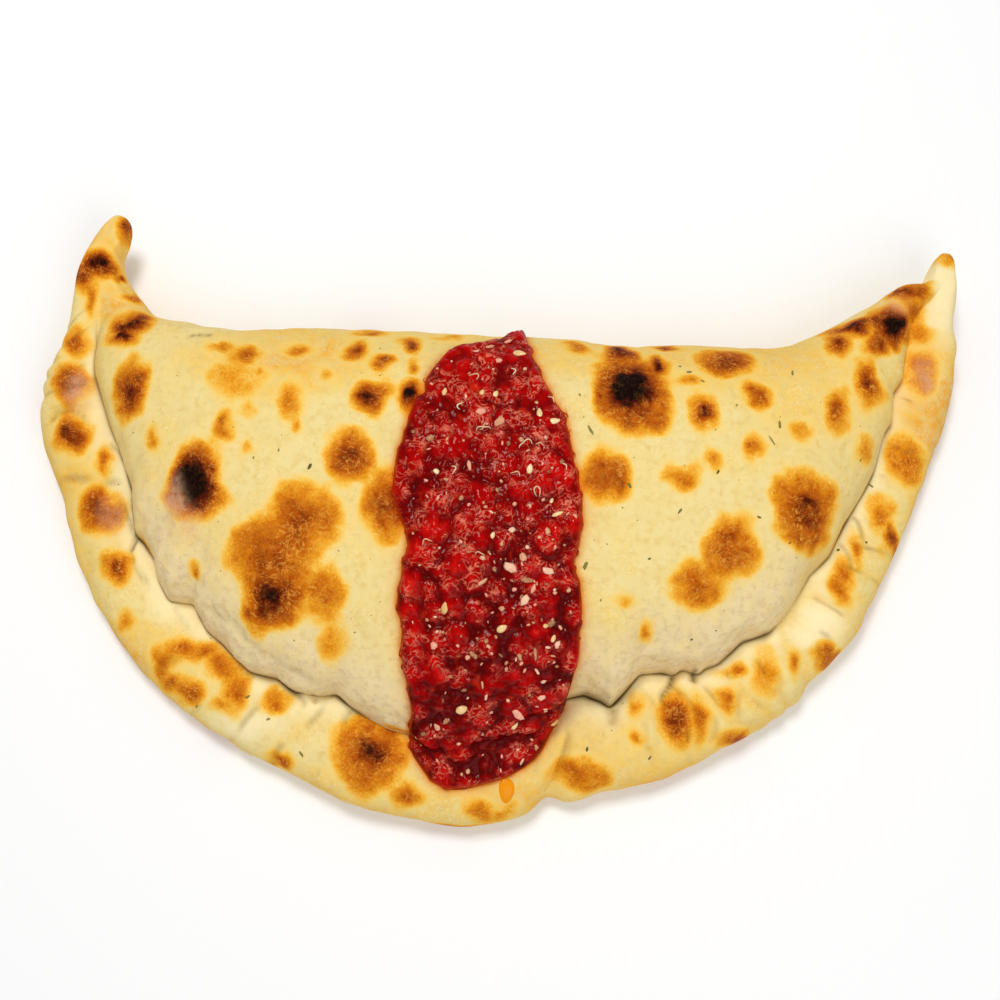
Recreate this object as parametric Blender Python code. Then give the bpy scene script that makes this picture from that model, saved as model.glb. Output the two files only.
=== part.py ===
"""A calzone: a disc of dough folded over its filling, crimped along the round edge and baked, with a
band of tomato sauce across it.

Metres, +Z up. The fold lies along X at the back (+Y) and the crimped rim curves round the front (-Y).
Both ends of the rim rise into a small horn. The origin is in the middle of the box, on the table.
"""

import math
from collections import namedtuple

import bpy
import numpy as np

# Driving dimensions of the dough.
FOOT_ROUNDING = 0.006  # the round between the flat underside and the sides
FOOT_MOST = 0.3  # and its limit on a thin horn, as a share of the section's length
CROWN_SHARE = 0.42  # where the dome is highest, as a share of the way from the fold to the crease
RIM_CROWN_SHARE = 0.42  # the same on the rim, from the crease to the outer edge
ROUND = 2.0  # superellipse powers: 2 is an ellipse, more is squarer
DOME_BACK_FULLNESS = 2.5
DOME_FRONT_FULLNESS = 2.5
RIM_FULLNESS = 2.3
TIP_ROUNDING = 0.6  # how far from its tip, in ribs, a horn starts to round off
TIP_LEAST = 0.3  # the share of a section's size that is left at the very tip

# The dough is lofted through these ribs, from the left horn's tip to the right one's. Each runs from the
# fold to the outer edge of the rim, and the crease between dome and rim is a share of the way along it.
Rib = namedtuple("Rib", "back_x back_y front_x front_y crease crease_height dome_height rim_height lift")
RIBS = (
    Rib(-0.1335, 0.1075, -0.1385, 0.1075, 0.50, 0.007, 0.008, 0.008, 0.018),
    Rib(-0.1370, 0.0995, -0.1470, 0.0985, 0.50, 0.011, 0.012, 0.012, 0.014),
    Rib(-0.1365, 0.0905, -0.1540, 0.0825, 0.50, 0.014, 0.016, 0.016, 0.009),
    Rib(-0.1300, 0.0805, -0.1580, 0.0625, 0.52, 0.016, 0.021, 0.019, 0.004),
    Rib(-0.1200, 0.0730, -0.1645, 0.0365, 0.54, 0.014, 0.031, 0.020, 0.001),
    Rib(-0.0940, 0.0685, -0.1500, -0.0165, 0.69, 0.012, 0.043, 0.019, 0.000),
    Rib(-0.0630, 0.0665, -0.1125, -0.0680, 0.80, 0.012, 0.050, 0.019, 0.000),
    Rib(-0.0310, 0.0660, -0.0520, -0.1010, 0.82, 0.012, 0.054, 0.020, 0.000),
    Rib(0.0040, 0.0645, 0.0040, -0.1060, 0.84, 0.012, 0.055, 0.019, 0.000),
    Rib(0.0390, 0.0615, 0.0520, -0.0940, 0.78, 0.012, 0.054, 0.020, 0.000),
    Rib(0.0700, 0.0610, 0.1050, -0.0625, 0.80, 0.012, 0.049, 0.020, 0.000),
    Rib(0.1030, 0.0620, 0.1370, -0.0195, 0.70, 0.013, 0.041, 0.019, 0.000),
    Rib(0.1300, 0.0735, 0.1585, 0.0305, 0.51, 0.015, 0.031, 0.019, 0.001),
    Rib(0.1420, 0.0815, 0.1640, 0.0525, 0.47, 0.016, 0.025, 0.019, 0.004),
    Rib(0.1530, 0.0835, 0.1650, 0.0785, 0.50, 0.015, 0.017, 0.017, 0.008),
    Rib(0.1600, 0.0960, 0.1645, 0.0960, 0.50, 0.007, 0.008, 0.008, 0.014),
)

# Where the hand-crimped rim is uneven: the rib that a bulge lies at, its reach in ribs, and how far it
# stands out and up. Below zero it is a dip. The deep one is the notch where two crimps meet.
Bulge = namedtuple("Bulge", "rib reach out up")
RIM_BULGES = (
    Bulge(3.4, 0.25, 0.0005, 0.0010),
    Bulge(4.1, 0.25, 0.0015, 0.0015),
    Bulge(4.6, 0.30, -0.0025, -0.0005),
    Bulge(5.2, 0.30, 0.0005, 0.0015),
    Bulge(6.5, 0.45, -0.0020, 0.0000),
    Bulge(7.7, 0.30, 0.0015, 0.0010),
    Bulge(8.3, 0.13, -0.0065, -0.0030),
    Bulge(8.7, 0.25, -0.0020, 0.0010),
    Bulge(9.7, 0.30, 0.0010, 0.0010),
    Bulge(10.5, 0.25, 0.0025, 0.0015),
    Bulge(11.4, 0.30, 0.0000, -0.0010),
)

# How finely the dough is cut up: rings along it, and the steps of each stretch of a ring.
RINGS = 72
FOOT_STEPS = 3
DOME_BACK_STEPS = 10
DOME_FRONT_STEPS = 12
RIM_BACK_STEPS = 4
RIM_FRONT_STEPS = 7
UNDERSIDE_STEPS = 10
VALLEY_POINT = FOOT_STEPS + DOME_BACK_STEPS + DOME_FRONT_STEPS  # a ring's point in the crease

# Driving dimensions of the sauce.
SAUCE_GAP = 0.0004  # clear of the dough
SAUCE_THICKNESS = 0.0035
SAUCE_EDGE_THICKNESS = 0.0012
SAUCE_SIDE_SHARPNESS = 4  # powers of the thickness's fall to the sides and the ends
SAUCE_END_SHARPNESS = 8
SAUCE_COLUMNS = 15
SAUCE_SOFTENING = 3  # rounds of averaging that let it fill the crease instead of following it

# The band's outline in plan, from over the fold to the rim.
SauceRow = namedtuple("SauceRow", "y left right")
SAUCE_ROWS = (
    SauceRow(0.0625, 0.0040, 0.0100),
    SauceRow(0.0565, -0.0080, 0.0100),
    SauceRow(0.0485, -0.0200, 0.0110),
    SauceRow(0.0385, -0.0250, 0.0150),
    SauceRow(0.0245, -0.0310, 0.0220),
    SauceRow(0.0035, -0.0350, 0.0260),
    SauceRow(-0.0165, -0.0320, 0.0265),
    SauceRow(-0.0395, -0.0335, 0.0270),
    SauceRow(-0.0615, -0.0310, 0.0230),
    SauceRow(-0.0785, -0.0305, 0.0160),
    SauceRow(-0.0875, -0.0280, 0.0100),
    SauceRow(-0.0955, -0.0190, -0.0050),
)
SAUCE_FROM_RIB, SAUCE_TO_RIB = 6, 10  # the stretch of dough that carries it
OUTLINE_SAMPLES = 120
BED_SAMPLES = 400


def clear_scene():
    for thing in list(bpy.data.objects):
        bpy.data.objects.remove(thing, do_unlink=True)


def material(name, colour, roughness):
    made = bpy.data.materials.new(name)
    made.use_nodes = True
    shader = made.node_tree.nodes["Principled BSDF"]
    shader.inputs["Base Color"].default_value = (*colour, 1.0)
    shader.inputs["Roughness"].default_value = roughness
    shader.inputs["Metallic"].default_value = 0.0
    return made


def through(rows, place):
    """The row at a place between the rows, on a smooth curve through all of them."""
    table = np.array(rows, dtype=float)
    first = min(max(int(place), 0), len(table) - 2)
    t = place - first
    before, start, end, after = (table[min(max(first + step, 0), len(table) - 1)] for step in (-1, 0, 1, 2))
    return 0.5 * (
        2 * start
        + (end - before) * t
        + (2 * before - 5 * start + 4 * end - after) * t**2
        + (3 * start - before - 3 * end + after) * t**3
    )


def quarter(start, end, fullness, count, upright):
    """Points of a superellipse quarter, after its start and up to its end.

    It leaves its start upright and arrives level, or the other way round.
    """
    points = []
    for step in range(1, count + 1):
        angle = math.pi / 2 * step / count
        rise = math.sin(angle) ** (2 / fullness)
        turn = 1 - max(math.cos(angle), 0.0) ** (2 / fullness)
        across, up = (turn, rise) if upright else (rise, turn)
        points.append((start[0] + (end[0] - start[0]) * across, start[1] + (end[1] - start[1]) * up))
    return points


def bulge_at(place):
    """How far the rim stands out and up at a place between the ribs."""
    out, up = 0.0, 0.0
    for bulge in RIM_BULGES:
        nearness = math.exp(-(((place - bulge.rib) / bulge.reach) ** 2))
        out += bulge.out * nearness
        up += bulge.up * nearness
    return out, up


def section(rib, out, up):
    """The rib's closed outline as (distance from the fold, height) pairs, from the foot of the fold over
    the dome and the rim and back along the underside."""
    spine = math.hypot(rib.front_x - rib.back_x, rib.front_y - rib.back_y)
    crease = rib.crease * spine
    length = spine + out
    foot = min(FOOT_ROUNDING, FOOT_MOST * length)
    back_foot = (foot, 0.0)
    back = (0.0, foot)
    crown = (CROWN_SHARE * crease, rib.dome_height)
    valley = (crease, rib.crease_height)
    rim_crown = (crease + RIM_CROWN_SHARE * (length - crease), rib.rim_height + up)
    front = (length, foot)
    front_foot = (length - foot, 0.0)
    outline = [back_foot]
    outline += quarter(back_foot, back, ROUND, FOOT_STEPS, upright=False)
    outline += quarter(back, crown, DOME_BACK_FULLNESS, DOME_BACK_STEPS, upright=True)
    outline += quarter(crown, valley, DOME_FRONT_FULLNESS, DOME_FRONT_STEPS, upright=False)
    outline += quarter(valley, rim_crown, RIM_FULLNESS, RIM_BACK_STEPS, upright=True)
    outline += quarter(rim_crown, front, RIM_FULLNESS, RIM_FRONT_STEPS, upright=False)
    outline += quarter(front, front_foot, ROUND, FOOT_STEPS, upright=True)
    for step in range(1, UNDERSIDE_STEPS):
        outline.append((front_foot[0] + (back_foot[0] - front_foot[0]) * step / UNDERSIDE_STEPS, 0.0))
    return outline


def tip_share(place):
    """The share of its size that a section keeps where a horn rounds off."""
    from_tip = min(place, len(RIBS) - 1 - place) / TIP_ROUNDING
    return max(TIP_LEAST, math.sqrt(1 - max(1 - from_tip, 0.0) ** 2))


def ring_at(place):
    """The loft's closed ring of points at a place between the ribs."""
    rib = Rib(*through(RIBS, place))
    spine = math.hypot(rib.front_x - rib.back_x, rib.front_y - rib.back_y)
    step_x = (rib.front_x - rib.back_x) / spine
    step_y = (rib.front_y - rib.back_y) / spine
    ring = np.array(
        [
            (rib.back_x + step_x * along, rib.back_y + step_y * along, max(rib.lift, 0.0) + height)
            for along, height in section(rib, *bulge_at(place))
        ]
    )
    middle = (ring.min(axis=0) + ring.max(axis=0)) / 2
    return middle + (ring - middle) * tip_share(place)


def solid(name, rings, finish):
    """One closed body through rings of points, with a flat cap on its first and last ring."""
    count = len(rings[0])
    points = np.concatenate(rings)
    faces = [tuple(reversed(range(count)))]
    for ring in range(len(rings) - 1):
        for corner in range(count):
            low = ring * count
            after = (corner + 1) % count
            faces.append((low + corner, low + after, low + count + after, low + count + corner))
    faces.append(tuple(range(len(points) - count, len(points))))
    mesh = bpy.data.meshes.new(name)
    mesh.from_pydata(points, [], faces)
    mesh.materials.append(finish)
    mesh.shade_smooth()
    made = bpy.data.objects.new(name, mesh)
    bpy.context.scene.collection.objects.link(made)
    return made


def make_crust():
    places = np.linspace(0, len(RIBS) - 1, RINGS)
    dough = material("baked_dough", (0.80, 0.56, 0.24), 0.75)
    return solid("crust", [ring_at(place) for place in places], dough)


def soften(grid):
    """The grid with each point eased towards its neighbours in the rows before and after."""
    for _ in range(SAUCE_SOFTENING):
        padded = np.concatenate([grid[:1], grid, grid[-1:]])
        grid = (padded[:-2] + 2 * grid + padded[2:]) / 4
    return grid


def covered_lines():
    """For each line of points that runs along the dough, the stretch under the sauce, in equal steps."""
    places = np.linspace(0, len(SAUCE_ROWS) - 1, OUTLINE_SAMPLES)
    row_y, left, right = np.array([through(SAUCE_ROWS, place) for place in places])[::-1].T
    surface = np.array([ring_at(place) for place in np.linspace(SAUCE_FROM_RIB, SAUCE_TO_RIB, BED_SAMPLES)])
    lines = []
    last_point = surface.shape[1] - UNDERSIDE_STEPS - FOOT_STEPS
    for point in range(FOOT_STEPS + 1, last_point):
        if VALLEY_POINT <= point <= VALLEY_POINT + 1:  # the sauce bridges the crease
            continue
        x, y, z = surface[:, point].T
        in_reach = (row_y[0] < y) & (y < row_y[-1])
        inside = x[in_reach & (np.interp(y, row_y, left) < x) & (x < np.interp(y, row_y, right))]
        if len(inside) > 1:
            steps = np.linspace(inside[0], inside[-1], SAUCE_COLUMNS)
            lines.append(np.stack([steps, np.interp(steps, x, y), np.interp(steps, x, z)], axis=1))
    return np.array(lines)


def make_sauce():
    bed = covered_lines()
    down_rows, along_rows = np.gradient(bed, axis=(0, 1))
    outward = np.cross(down_rows, along_rows)
    outward /= np.linalg.norm(outward, axis=2, keepdims=True)
    underside = bed + SAUCE_GAP * outward

    across = np.linspace(-1, 1, SAUCE_COLUMNS)[None, :, None]
    down = np.linspace(-1, 1, len(bed))[:, None, None]
    middle = (1 - across**SAUCE_SIDE_SHARPNESS) * (1 - down**SAUCE_END_SHARPNESS)
    thickness = SAUCE_EDGE_THICKNESS + (SAUCE_THICKNESS - SAUCE_EDGE_THICKNESS) * middle
    top = underside + middle * (soften(bed) - bed) + thickness * soften(outward)

    rings = [np.concatenate([low, high[::-1]]) for low, high in zip(underside, top)]
    return solid("tomato_sauce", rings, material("tomato_sauce", (0.36, 0.02, 0.01), 0.3))


clear_scene()
make_crust()
make_sauce()
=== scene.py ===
"""The calzone's looks: blistered crust, chunky tomato sauce, dried herbs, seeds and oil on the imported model.

Metres, +Z up, in the frame of the CAD part. The fold lies along X at the back (+Y) and the crimped rim
curves round the front (-Y).
"""

import math
from collections import namedtuple

import bpy
import numpy as np
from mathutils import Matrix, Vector, noise
from mathutils.bvhtree import BVHTree


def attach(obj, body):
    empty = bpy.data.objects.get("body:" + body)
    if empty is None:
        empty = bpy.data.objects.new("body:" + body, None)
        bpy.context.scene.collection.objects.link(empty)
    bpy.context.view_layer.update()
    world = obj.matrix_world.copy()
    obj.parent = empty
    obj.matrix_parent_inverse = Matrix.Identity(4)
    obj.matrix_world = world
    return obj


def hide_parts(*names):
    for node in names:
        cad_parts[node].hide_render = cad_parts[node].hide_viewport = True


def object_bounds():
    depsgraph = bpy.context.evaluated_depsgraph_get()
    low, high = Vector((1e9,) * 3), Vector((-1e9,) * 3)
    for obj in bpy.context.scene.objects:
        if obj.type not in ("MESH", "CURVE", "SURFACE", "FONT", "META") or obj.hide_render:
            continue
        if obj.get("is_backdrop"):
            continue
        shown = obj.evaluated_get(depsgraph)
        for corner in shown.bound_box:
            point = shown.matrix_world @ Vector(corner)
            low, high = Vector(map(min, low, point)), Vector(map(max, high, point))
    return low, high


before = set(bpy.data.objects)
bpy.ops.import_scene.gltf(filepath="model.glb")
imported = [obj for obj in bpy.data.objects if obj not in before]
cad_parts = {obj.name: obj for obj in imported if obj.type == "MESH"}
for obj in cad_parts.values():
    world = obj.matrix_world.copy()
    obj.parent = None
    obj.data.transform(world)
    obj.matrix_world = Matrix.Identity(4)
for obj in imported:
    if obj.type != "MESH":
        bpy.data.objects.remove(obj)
CAD_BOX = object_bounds()
BODY = "root"

# ---------------------------------------------------------------------------------------------------------
# The dough's shape, as in the CAD part apart from its horns, which end in rounder fingers, and the fold by the
# left one.
# ---------------------------------------------------------------------------------------------------------

FOOT_ROUNDING = 0.006
FOOT_MOST = 0.3
CROWN_SHARE = 0.42
RIM_CROWN_SHARE = 0.42
ROUND = 2.0
DOME_BACK_FULLNESS = 2.5
DOME_FRONT_FULLNESS = 2.5
RIM_FULLNESS = 2.3
TIP_ROUNDING = 0.6
TIP_LEAST = 0.02

Rib = namedtuple("Rib", "back_x back_y front_x front_y crease crease_height dome_height rim_height lift")
RIBS = (
    Rib(-0.1325, 0.1062, -0.1402, 0.1094, 0.50, 0.008, 0.009, 0.009, 0.018),
    Rib(-0.1343, 0.0988, -0.1472, 0.0985, 0.50, 0.011, 0.012, 0.012, 0.014),
    Rib(-0.1372, 0.0915, -0.1535, 0.0835, 0.50, 0.014, 0.016, 0.016, 0.009),
    Rib(-0.1300, 0.0795, -0.1580, 0.0625, 0.52, 0.016, 0.021, 0.019, 0.004),
    Rib(-0.1200, 0.0712, -0.1645, 0.0365, 0.54, 0.014, 0.031, 0.020, 0.001),
    Rib(-0.0940, 0.0668, -0.1500, -0.0165, 0.69, 0.012, 0.043, 0.019, 0.000),
    Rib(-0.0630, 0.0665, -0.1125, -0.0680, 0.80, 0.012, 0.050, 0.019, 0.000),
    Rib(-0.0310, 0.0660, -0.0520, -0.1010, 0.82, 0.012, 0.054, 0.020, 0.000),
    Rib(0.0040, 0.0645, 0.0040, -0.1060, 0.84, 0.012, 0.055, 0.019, 0.000),
    Rib(0.0390, 0.0615, 0.0520, -0.0940, 0.78, 0.012, 0.054, 0.020, 0.000),
    Rib(0.0700, 0.0610, 0.1050, -0.0625, 0.80, 0.012, 0.049, 0.020, 0.000),
    Rib(0.1030, 0.0620, 0.1370, -0.0195, 0.70, 0.013, 0.041, 0.019, 0.000),
    Rib(0.1300, 0.0735, 0.1585, 0.0305, 0.51, 0.015, 0.031, 0.019, 0.001),
    Rib(0.1420, 0.0815, 0.1640, 0.0525, 0.47, 0.016, 0.025, 0.019, 0.004),
    Rib(0.1530, 0.0835, 0.1650, 0.0785, 0.50, 0.015, 0.017, 0.017, 0.008),
    Rib(0.1582, 0.0957, 0.1652, 0.0952, 0.50, 0.009, 0.010, 0.010, 0.013),
)
LAST_RIB = len(RIBS) - 1

Bulge = namedtuple("Bulge", "rib reach out up")
RIM_BULGES = (
    Bulge(3.4, 0.25, 0.0005, 0.0010),
    Bulge(4.1, 0.25, 0.0015, 0.0015),
    Bulge(4.6, 0.30, -0.0025, -0.0005),
    Bulge(5.2, 0.30, 0.0005, 0.0015),
    Bulge(6.5, 0.45, -0.0020, 0.0000),
    Bulge(7.7, 0.30, 0.0015, 0.0010),
    Bulge(8.25, 0.12, -0.0048, -0.0020),
    Bulge(8.45, 0.50, -0.0015, 0.0000),
    Bulge(8.7, 0.25, -0.0020, 0.0010),
    Bulge(9.7, 0.30, 0.0010, 0.0010),
    Bulge(10.5, 0.25, 0.0025, 0.0015),
    Bulge(11.4, 0.30, 0.0000, -0.0010),
    Bulge(13.6, 0.25, -0.0015, 0.0000),
)

# The crease wanders in lobes about its mean line: the rib it is at, and how far it is shifted outwards.
Shift = namedtuple("Shift", "rib out")
SEAM = (
    Shift(2.8, 0.0000), Shift(3.7, -0.0017), Shift(4.15, 0.0008), Shift(4.6, -0.0011), Shift(4.9, -0.0032),
    Shift(5.1, -0.0028), Shift(5.3, 0.0032), Shift(5.38, 0.0013), Shift(5.52, 0.0004), Shift(5.6, 0.0030),
    Shift(5.72, 0.0040), Shift(5.88, -0.0033), Shift(6.03, -0.0002), Shift(6.14, -0.0006),
    Shift(6.34, 0.0020), Shift(6.5, -0.0008), Shift(6.6, 0.0008), Shift(6.75, -0.0012), Shift(6.85, -0.0042),
    Shift(6.95, -0.0015), Shift(7.2, 0.0012), Shift(7.6, 0.0008), Shift(8.1, -0.0050), Shift(8.42, -0.0076),
    Shift(8.55, -0.0062), Shift(8.68, -0.0008), Shift(8.74, 0.0028), Shift(8.84, 0.0008),
    Shift(8.98, -0.0032), Shift(9.14, -0.0009), Shift(9.22, 0.0015), Shift(9.27, 0.0002),
    Shift(9.37, 0.0040), Shift(9.42, 0.0026), Shift(9.5, 0.0028), Shift(9.68, -0.0011), Shift(9.88, 0.0008),
    Shift(10.05, -0.0007), Shift(10.3, -0.0034), Shift(10.52, -0.0008), Shift(10.75, -0.0016),
    Shift(11.2, 0.0014), Shift(11.44, 0.0003), Shift(11.54, 0.0021), Shift(11.67, -0.0019),
    Shift(11.86, 0.0005), Shift(12.2, -0.0030), Shift(12.7, -0.0060), Shift(13.2, -0.0040), Shift(14.0, 0.0000),
)
SEAM_SOFTENING = 0.02  # in ribs

# How far the crease is left open along it, 1 for the CAD part's whole valley and 0 for closed up level with the
# rim, and how dark the painted shade at its bottom is.
Opening = namedtuple("Opening", "rib share shade")
OPENINGS = (
    Opening(2.6, 0.00, 0.0), Opening(3.3, 0.06, 0.2), Opening(3.9, 0.20, 0.8), Opening(4.6, 0.26, 0.8),
    Opening(5.0, 0.28, 0.7), Opening(5.15, 0.34, 0.9), Opening(5.35, 0.34, 1.0), Opening(5.5, 0.16, 0.8),
    Opening(5.6, 0.20, 0.6), Opening(5.74, 0.26, 0.4), Opening(5.82, 0.24, 0.1), Opening(5.95, 0.30, 0.5),
    Opening(6.15, 0.34, 0.5), Opening(6.3, 0.46, 0.3), Opening(6.5, 0.45, 0.6), Opening(6.6, 0.40, 1.0),
    Opening(6.67, 0.14, 0.2), Opening(6.8, 0.30, 0.3), Opening(6.87, 0.50, 1.0), Opening(6.93, 0.26, 0.9),
    Opening(7.0, 0.24, 0.8), Opening(7.08, 0.16, 0.1), Opening(8.2, 0.20, 0.2), Opening(8.4, 0.40, 0.7),
    Opening(8.58, 0.90, 1.0), Opening(8.76, 0.62, 1.0), Opening(8.9, 0.45, 0.8), Opening(9.05, 0.40, 0.3),
    Opening(9.15, 0.50, 0.8), Opening(9.24, 0.40, 0.4), Opening(9.35, 0.28, 0.6), Opening(9.6, 0.30, 0.7),
    Opening(9.85, 0.30, 0.9), Opening(9.95, 0.08, 0.05), Opening(10.12, 0.05, 0.0), Opening(10.2, 0.10, 0.4),
    Opening(10.45, 0.24, 0.6), Opening(10.6, 0.28, 0.3), Opening(10.75, 0.30, 0.9), Opening(10.95, 0.26, 0.4),
    Opening(11.15, 0.22, 0.8), Opening(11.4, 0.16, 0.5), Opening(12.0, 0.10, 0.25), Opening(12.7, 0.00, 0.0),
)

# How finely a surface is cut up: the steps of each stretch of a ring.
Steps = namedtuple("Steps", "foot dome_back dome_front rim_back rim_front underside")
CRUST_STEPS = Steps(4, 26, 44, 17, 31, 8)
CRUST_RINGS = 690
HIDDEN_SPARED = 0.45  # how much sparser the rings are where the sauce covers them
TIP_RINGS = 10
STRETCH_SAMPLES = 160
CROWDING = 1.7  # the power by which points crowd towards the crease

Surface = namedtuple("Surface", "points normals past places")


def through(rows, places):
    """The rows at places between the rows, on a smooth curve through all of them."""
    table = np.array(rows, dtype=float)
    places = np.asarray(places, dtype=float)
    first = np.clip(places.astype(int), 0, len(table) - 2)
    t = (places - first)[:, None]
    before, start, end, after = (table[np.clip(first + step, 0, len(table) - 1)] for step in (-1, 0, 1, 2))
    return 0.5 * (
        2 * start
        + (end - before) * t
        + (2 * before - 5 * start + 4 * end - after) * t**2
        + (3 * start - before - 3 * end + after) * t**3
    )


def bulges_at(places):
    """How far the rim stands out and up at places between the ribs."""
    out = np.zeros(len(places))
    up = np.zeros(len(places))
    for bulge in RIM_BULGES:
        nearness = np.exp(-(((places - bulge.rib) / bulge.reach) ** 2))
        out += bulge.out * nearness
        up += bulge.up * nearness
    return out, up


def seam_shift(places):
    """How far outwards the crease is shifted at places between the ribs, with its cusps slightly rounded."""
    rib, out = np.array(SEAM).T
    spread = np.linspace(-1, 1, 5)
    return np.mean([np.interp(places + SEAM_SOFTENING * step, rib, out) for step in spread], axis=0)


def opening_at(places):
    """How far open the crease is at places between the ribs, and how dark."""
    rib, share, shade = np.array(OPENINGS).T
    return np.interp(places, rib, share), np.interp(places, rib, shade)


def quarter(start, end, fullness, upright):
    """Superellipse quarters from start to end, one for each ring, as (along, height) pairs."""
    angle = np.linspace(0, math.pi / 2, STRETCH_SAMPLES)
    rise = np.sin(angle) ** (2 / fullness)
    turn = 1 - np.clip(np.cos(angle), 0, None) ** (2 / fullness)
    across, up = (turn, rise) if upright else (rise, turn)
    along = start[0][:, None] + (end[0] - start[0])[:, None] * across
    height = start[1][:, None] + (end[1] - start[1])[:, None] * up
    return np.stack([along, height], axis=2)


def spaced(stretch, count, shares=None):
    """Each ring's stretch cut into count steps, after its start and up to its end."""
    shares = np.linspace(0, 1, count + 1)[1:] if shares is None else shares
    steps = np.linalg.norm(np.diff(stretch, axis=1), axis=2)
    reached = np.concatenate([np.zeros((len(stretch), 1)), np.cumsum(steps, axis=1)], axis=1)
    reached /= reached[:, -1:]
    cut = np.empty((len(stretch), count, 2))
    for ring in range(len(stretch)):
        for axis in range(2):
            cut[ring, :, axis] = np.interp(shares, reached[ring], stretch[ring, :, axis])
    return cut


def crowded(count, power, to_end):
    """Shares of a stretch that crowd towards its end, or its start."""
    shares = np.linspace(0, 1, count + 1)[1:]
    return 1 - (1 - shares) ** power if to_end else shares**power


def grid_normals(points):
    """Unit normals of a grid of rings, outwards, where each ring is closed."""
    round_ring = np.roll(points, -1, axis=1) - np.roll(points, 1, axis=1)
    along = np.gradient(points, axis=0)
    normals = np.cross(round_ring, along)
    return normals / np.maximum(np.linalg.norm(normals, axis=2, keepdims=True), 1e-12)


def dough_surface(places, steps, crowding=CROWDING):
    """The dough's rings at these places, from the foot of the fold over the dome and the rim, and back."""
    rib = Rib(*through(RIBS, places).T)
    out, up = bulges_at(places)
    spine = np.hypot(rib.front_x - rib.back_x, rib.front_y - rib.back_y)
    crease = rib.crease * spine + seam_shift(places)
    length = spine + out
    foot = np.minimum(FOOT_ROUNDING, FOOT_MOST * length)
    flat = np.zeros(len(places))
    back_foot = (foot, flat)
    back = (flat, foot)
    crown = (CROWN_SHARE * rib.crease * spine, rib.dome_height)
    valley = (crease, rib.crease_height)
    rim_crown = (crease + RIM_CROWN_SHARE * (length - crease), rib.rim_height + up)
    front = (length, foot)
    front_foot = (length - foot, flat)
    opening = opening_at(places)[0][:, None]
    rim_top = rim_crown[1][:, None]
    floor = rim_top - (rim_top - valley[1][:, None]) * opening
    dome_front = spaced(
        quarter(crown, valley, DOME_FRONT_FULLNESS, upright=False),
        steps.dome_front,
        crowded(steps.dome_front, crowding, to_end=True),
    )
    dome_front[..., 1] = np.maximum(dome_front[..., 1], np.minimum(floor, crown[1][:, None]))
    rim_back = spaced(
        quarter(valley, rim_crown, RIM_FULLNESS, upright=True),
        steps.rim_back,
        crowded(steps.rim_back, crowding, to_end=False),
    )
    rim_back[..., 1] = rim_top - (rim_top - rim_back[..., 1]) * opening
    underside = np.stack([np.stack(front_foot, axis=1), np.stack(back_foot, axis=1)], axis=1)
    outline = np.concatenate(
        [
            np.stack(back_foot, axis=1)[:, None],
            spaced(quarter(back_foot, back, ROUND, upright=False), steps.foot),
            spaced(quarter(back, crown, DOME_BACK_FULLNESS, upright=True), steps.dome_back),
            dome_front,
            rim_back,
            spaced(quarter(rim_crown, front, RIM_FULLNESS, upright=False), steps.rim_front),
            spaced(quarter(front, front_foot, ROUND, upright=True), steps.foot),
            spaced(underside, steps.underside)[:, :-1],
        ],
        axis=1,
    )
    along = outline[:, :, 0]
    points = np.stack(
        [
            rib.back_x[:, None] + ((rib.front_x - rib.back_x) / spine)[:, None] * along,
            rib.back_y[:, None] + ((rib.front_y - rib.back_y) / spine)[:, None] * along,
            np.maximum(rib.lift, 0)[:, None] + outline[:, :, 1],
        ],
        axis=2,
    )
    from_tip = np.minimum(places, LAST_RIB - places) / TIP_ROUNDING
    tip_share = np.maximum(TIP_LEAST, np.sqrt(1 - np.clip(1 - from_tip, 0, None) ** 2))
    middle = (points.min(axis=1, keepdims=True) + points.max(axis=1, keepdims=True)) / 2
    points = middle + (points - middle) * tip_share[:, None, None]
    past = along - crease[:, None]
    return Surface(points, grid_normals(points), past, np.broadcast_to(places[:, None], past.shape))


def ring_places():
    """Places of the crust's rings: evenly along the crease, closer where a tip rounds off and sparser under the sauce."""
    tip = TIP_ROUNDING * (1 - np.cos(np.linspace(0, math.pi / 2, TIP_RINGS, endpoint=False)))
    fine = np.linspace(TIP_ROUNDING, LAST_RIB - TIP_ROUNDING, 4 * CRUST_RINGS)
    rib = Rib(*through(RIBS, fine).T)
    crease_x = rib.back_x + (rib.front_x - rib.back_x) * rib.crease
    crease_y = rib.back_y + (rib.front_y - rib.back_y) * rib.crease
    steps = np.hypot(np.diff(crease_x), np.diff(crease_y))
    hidden = smooth_step(7.1, 7.4, fine[1:]) * smooth_step(8.3, 8.0, fine[1:])
    reached = np.concatenate([[0], np.cumsum(steps * (1 - HIDDEN_SPARED * hidden))])
    even = np.interp(np.linspace(0, reached[-1], CRUST_RINGS), reached, fine)
    return np.concatenate([tip, even, LAST_RIB - tip[::-1]])


# ---------------------------------------------------------------------------------------------------------
# Uneven dough.
# ---------------------------------------------------------------------------------------------------------

WAVES = 40  # plane waves in a ripple


def ripple(points, size, seed):
    """A smooth random field of bumps about this size, mostly between -1 and 1."""
    random = np.random.default_rng(seed)
    directions = random.normal(size=(WAVES, 3))
    directions /= np.linalg.norm(directions, axis=1, keepdims=True)
    turns = directions * (2 * math.pi / size) * random.uniform(0.35, 1.0, (WAVES, 1))
    phases = random.uniform(0, 2 * math.pi, WAVES)
    flat = points.reshape(-1, 3)
    total = np.zeros(len(flat))
    for turn, phase in zip(turns, phases):
        total += np.sin(flat @ turn + phase)
    return (total / math.sqrt(WAVES)).reshape(points.shape[:-1])


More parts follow.
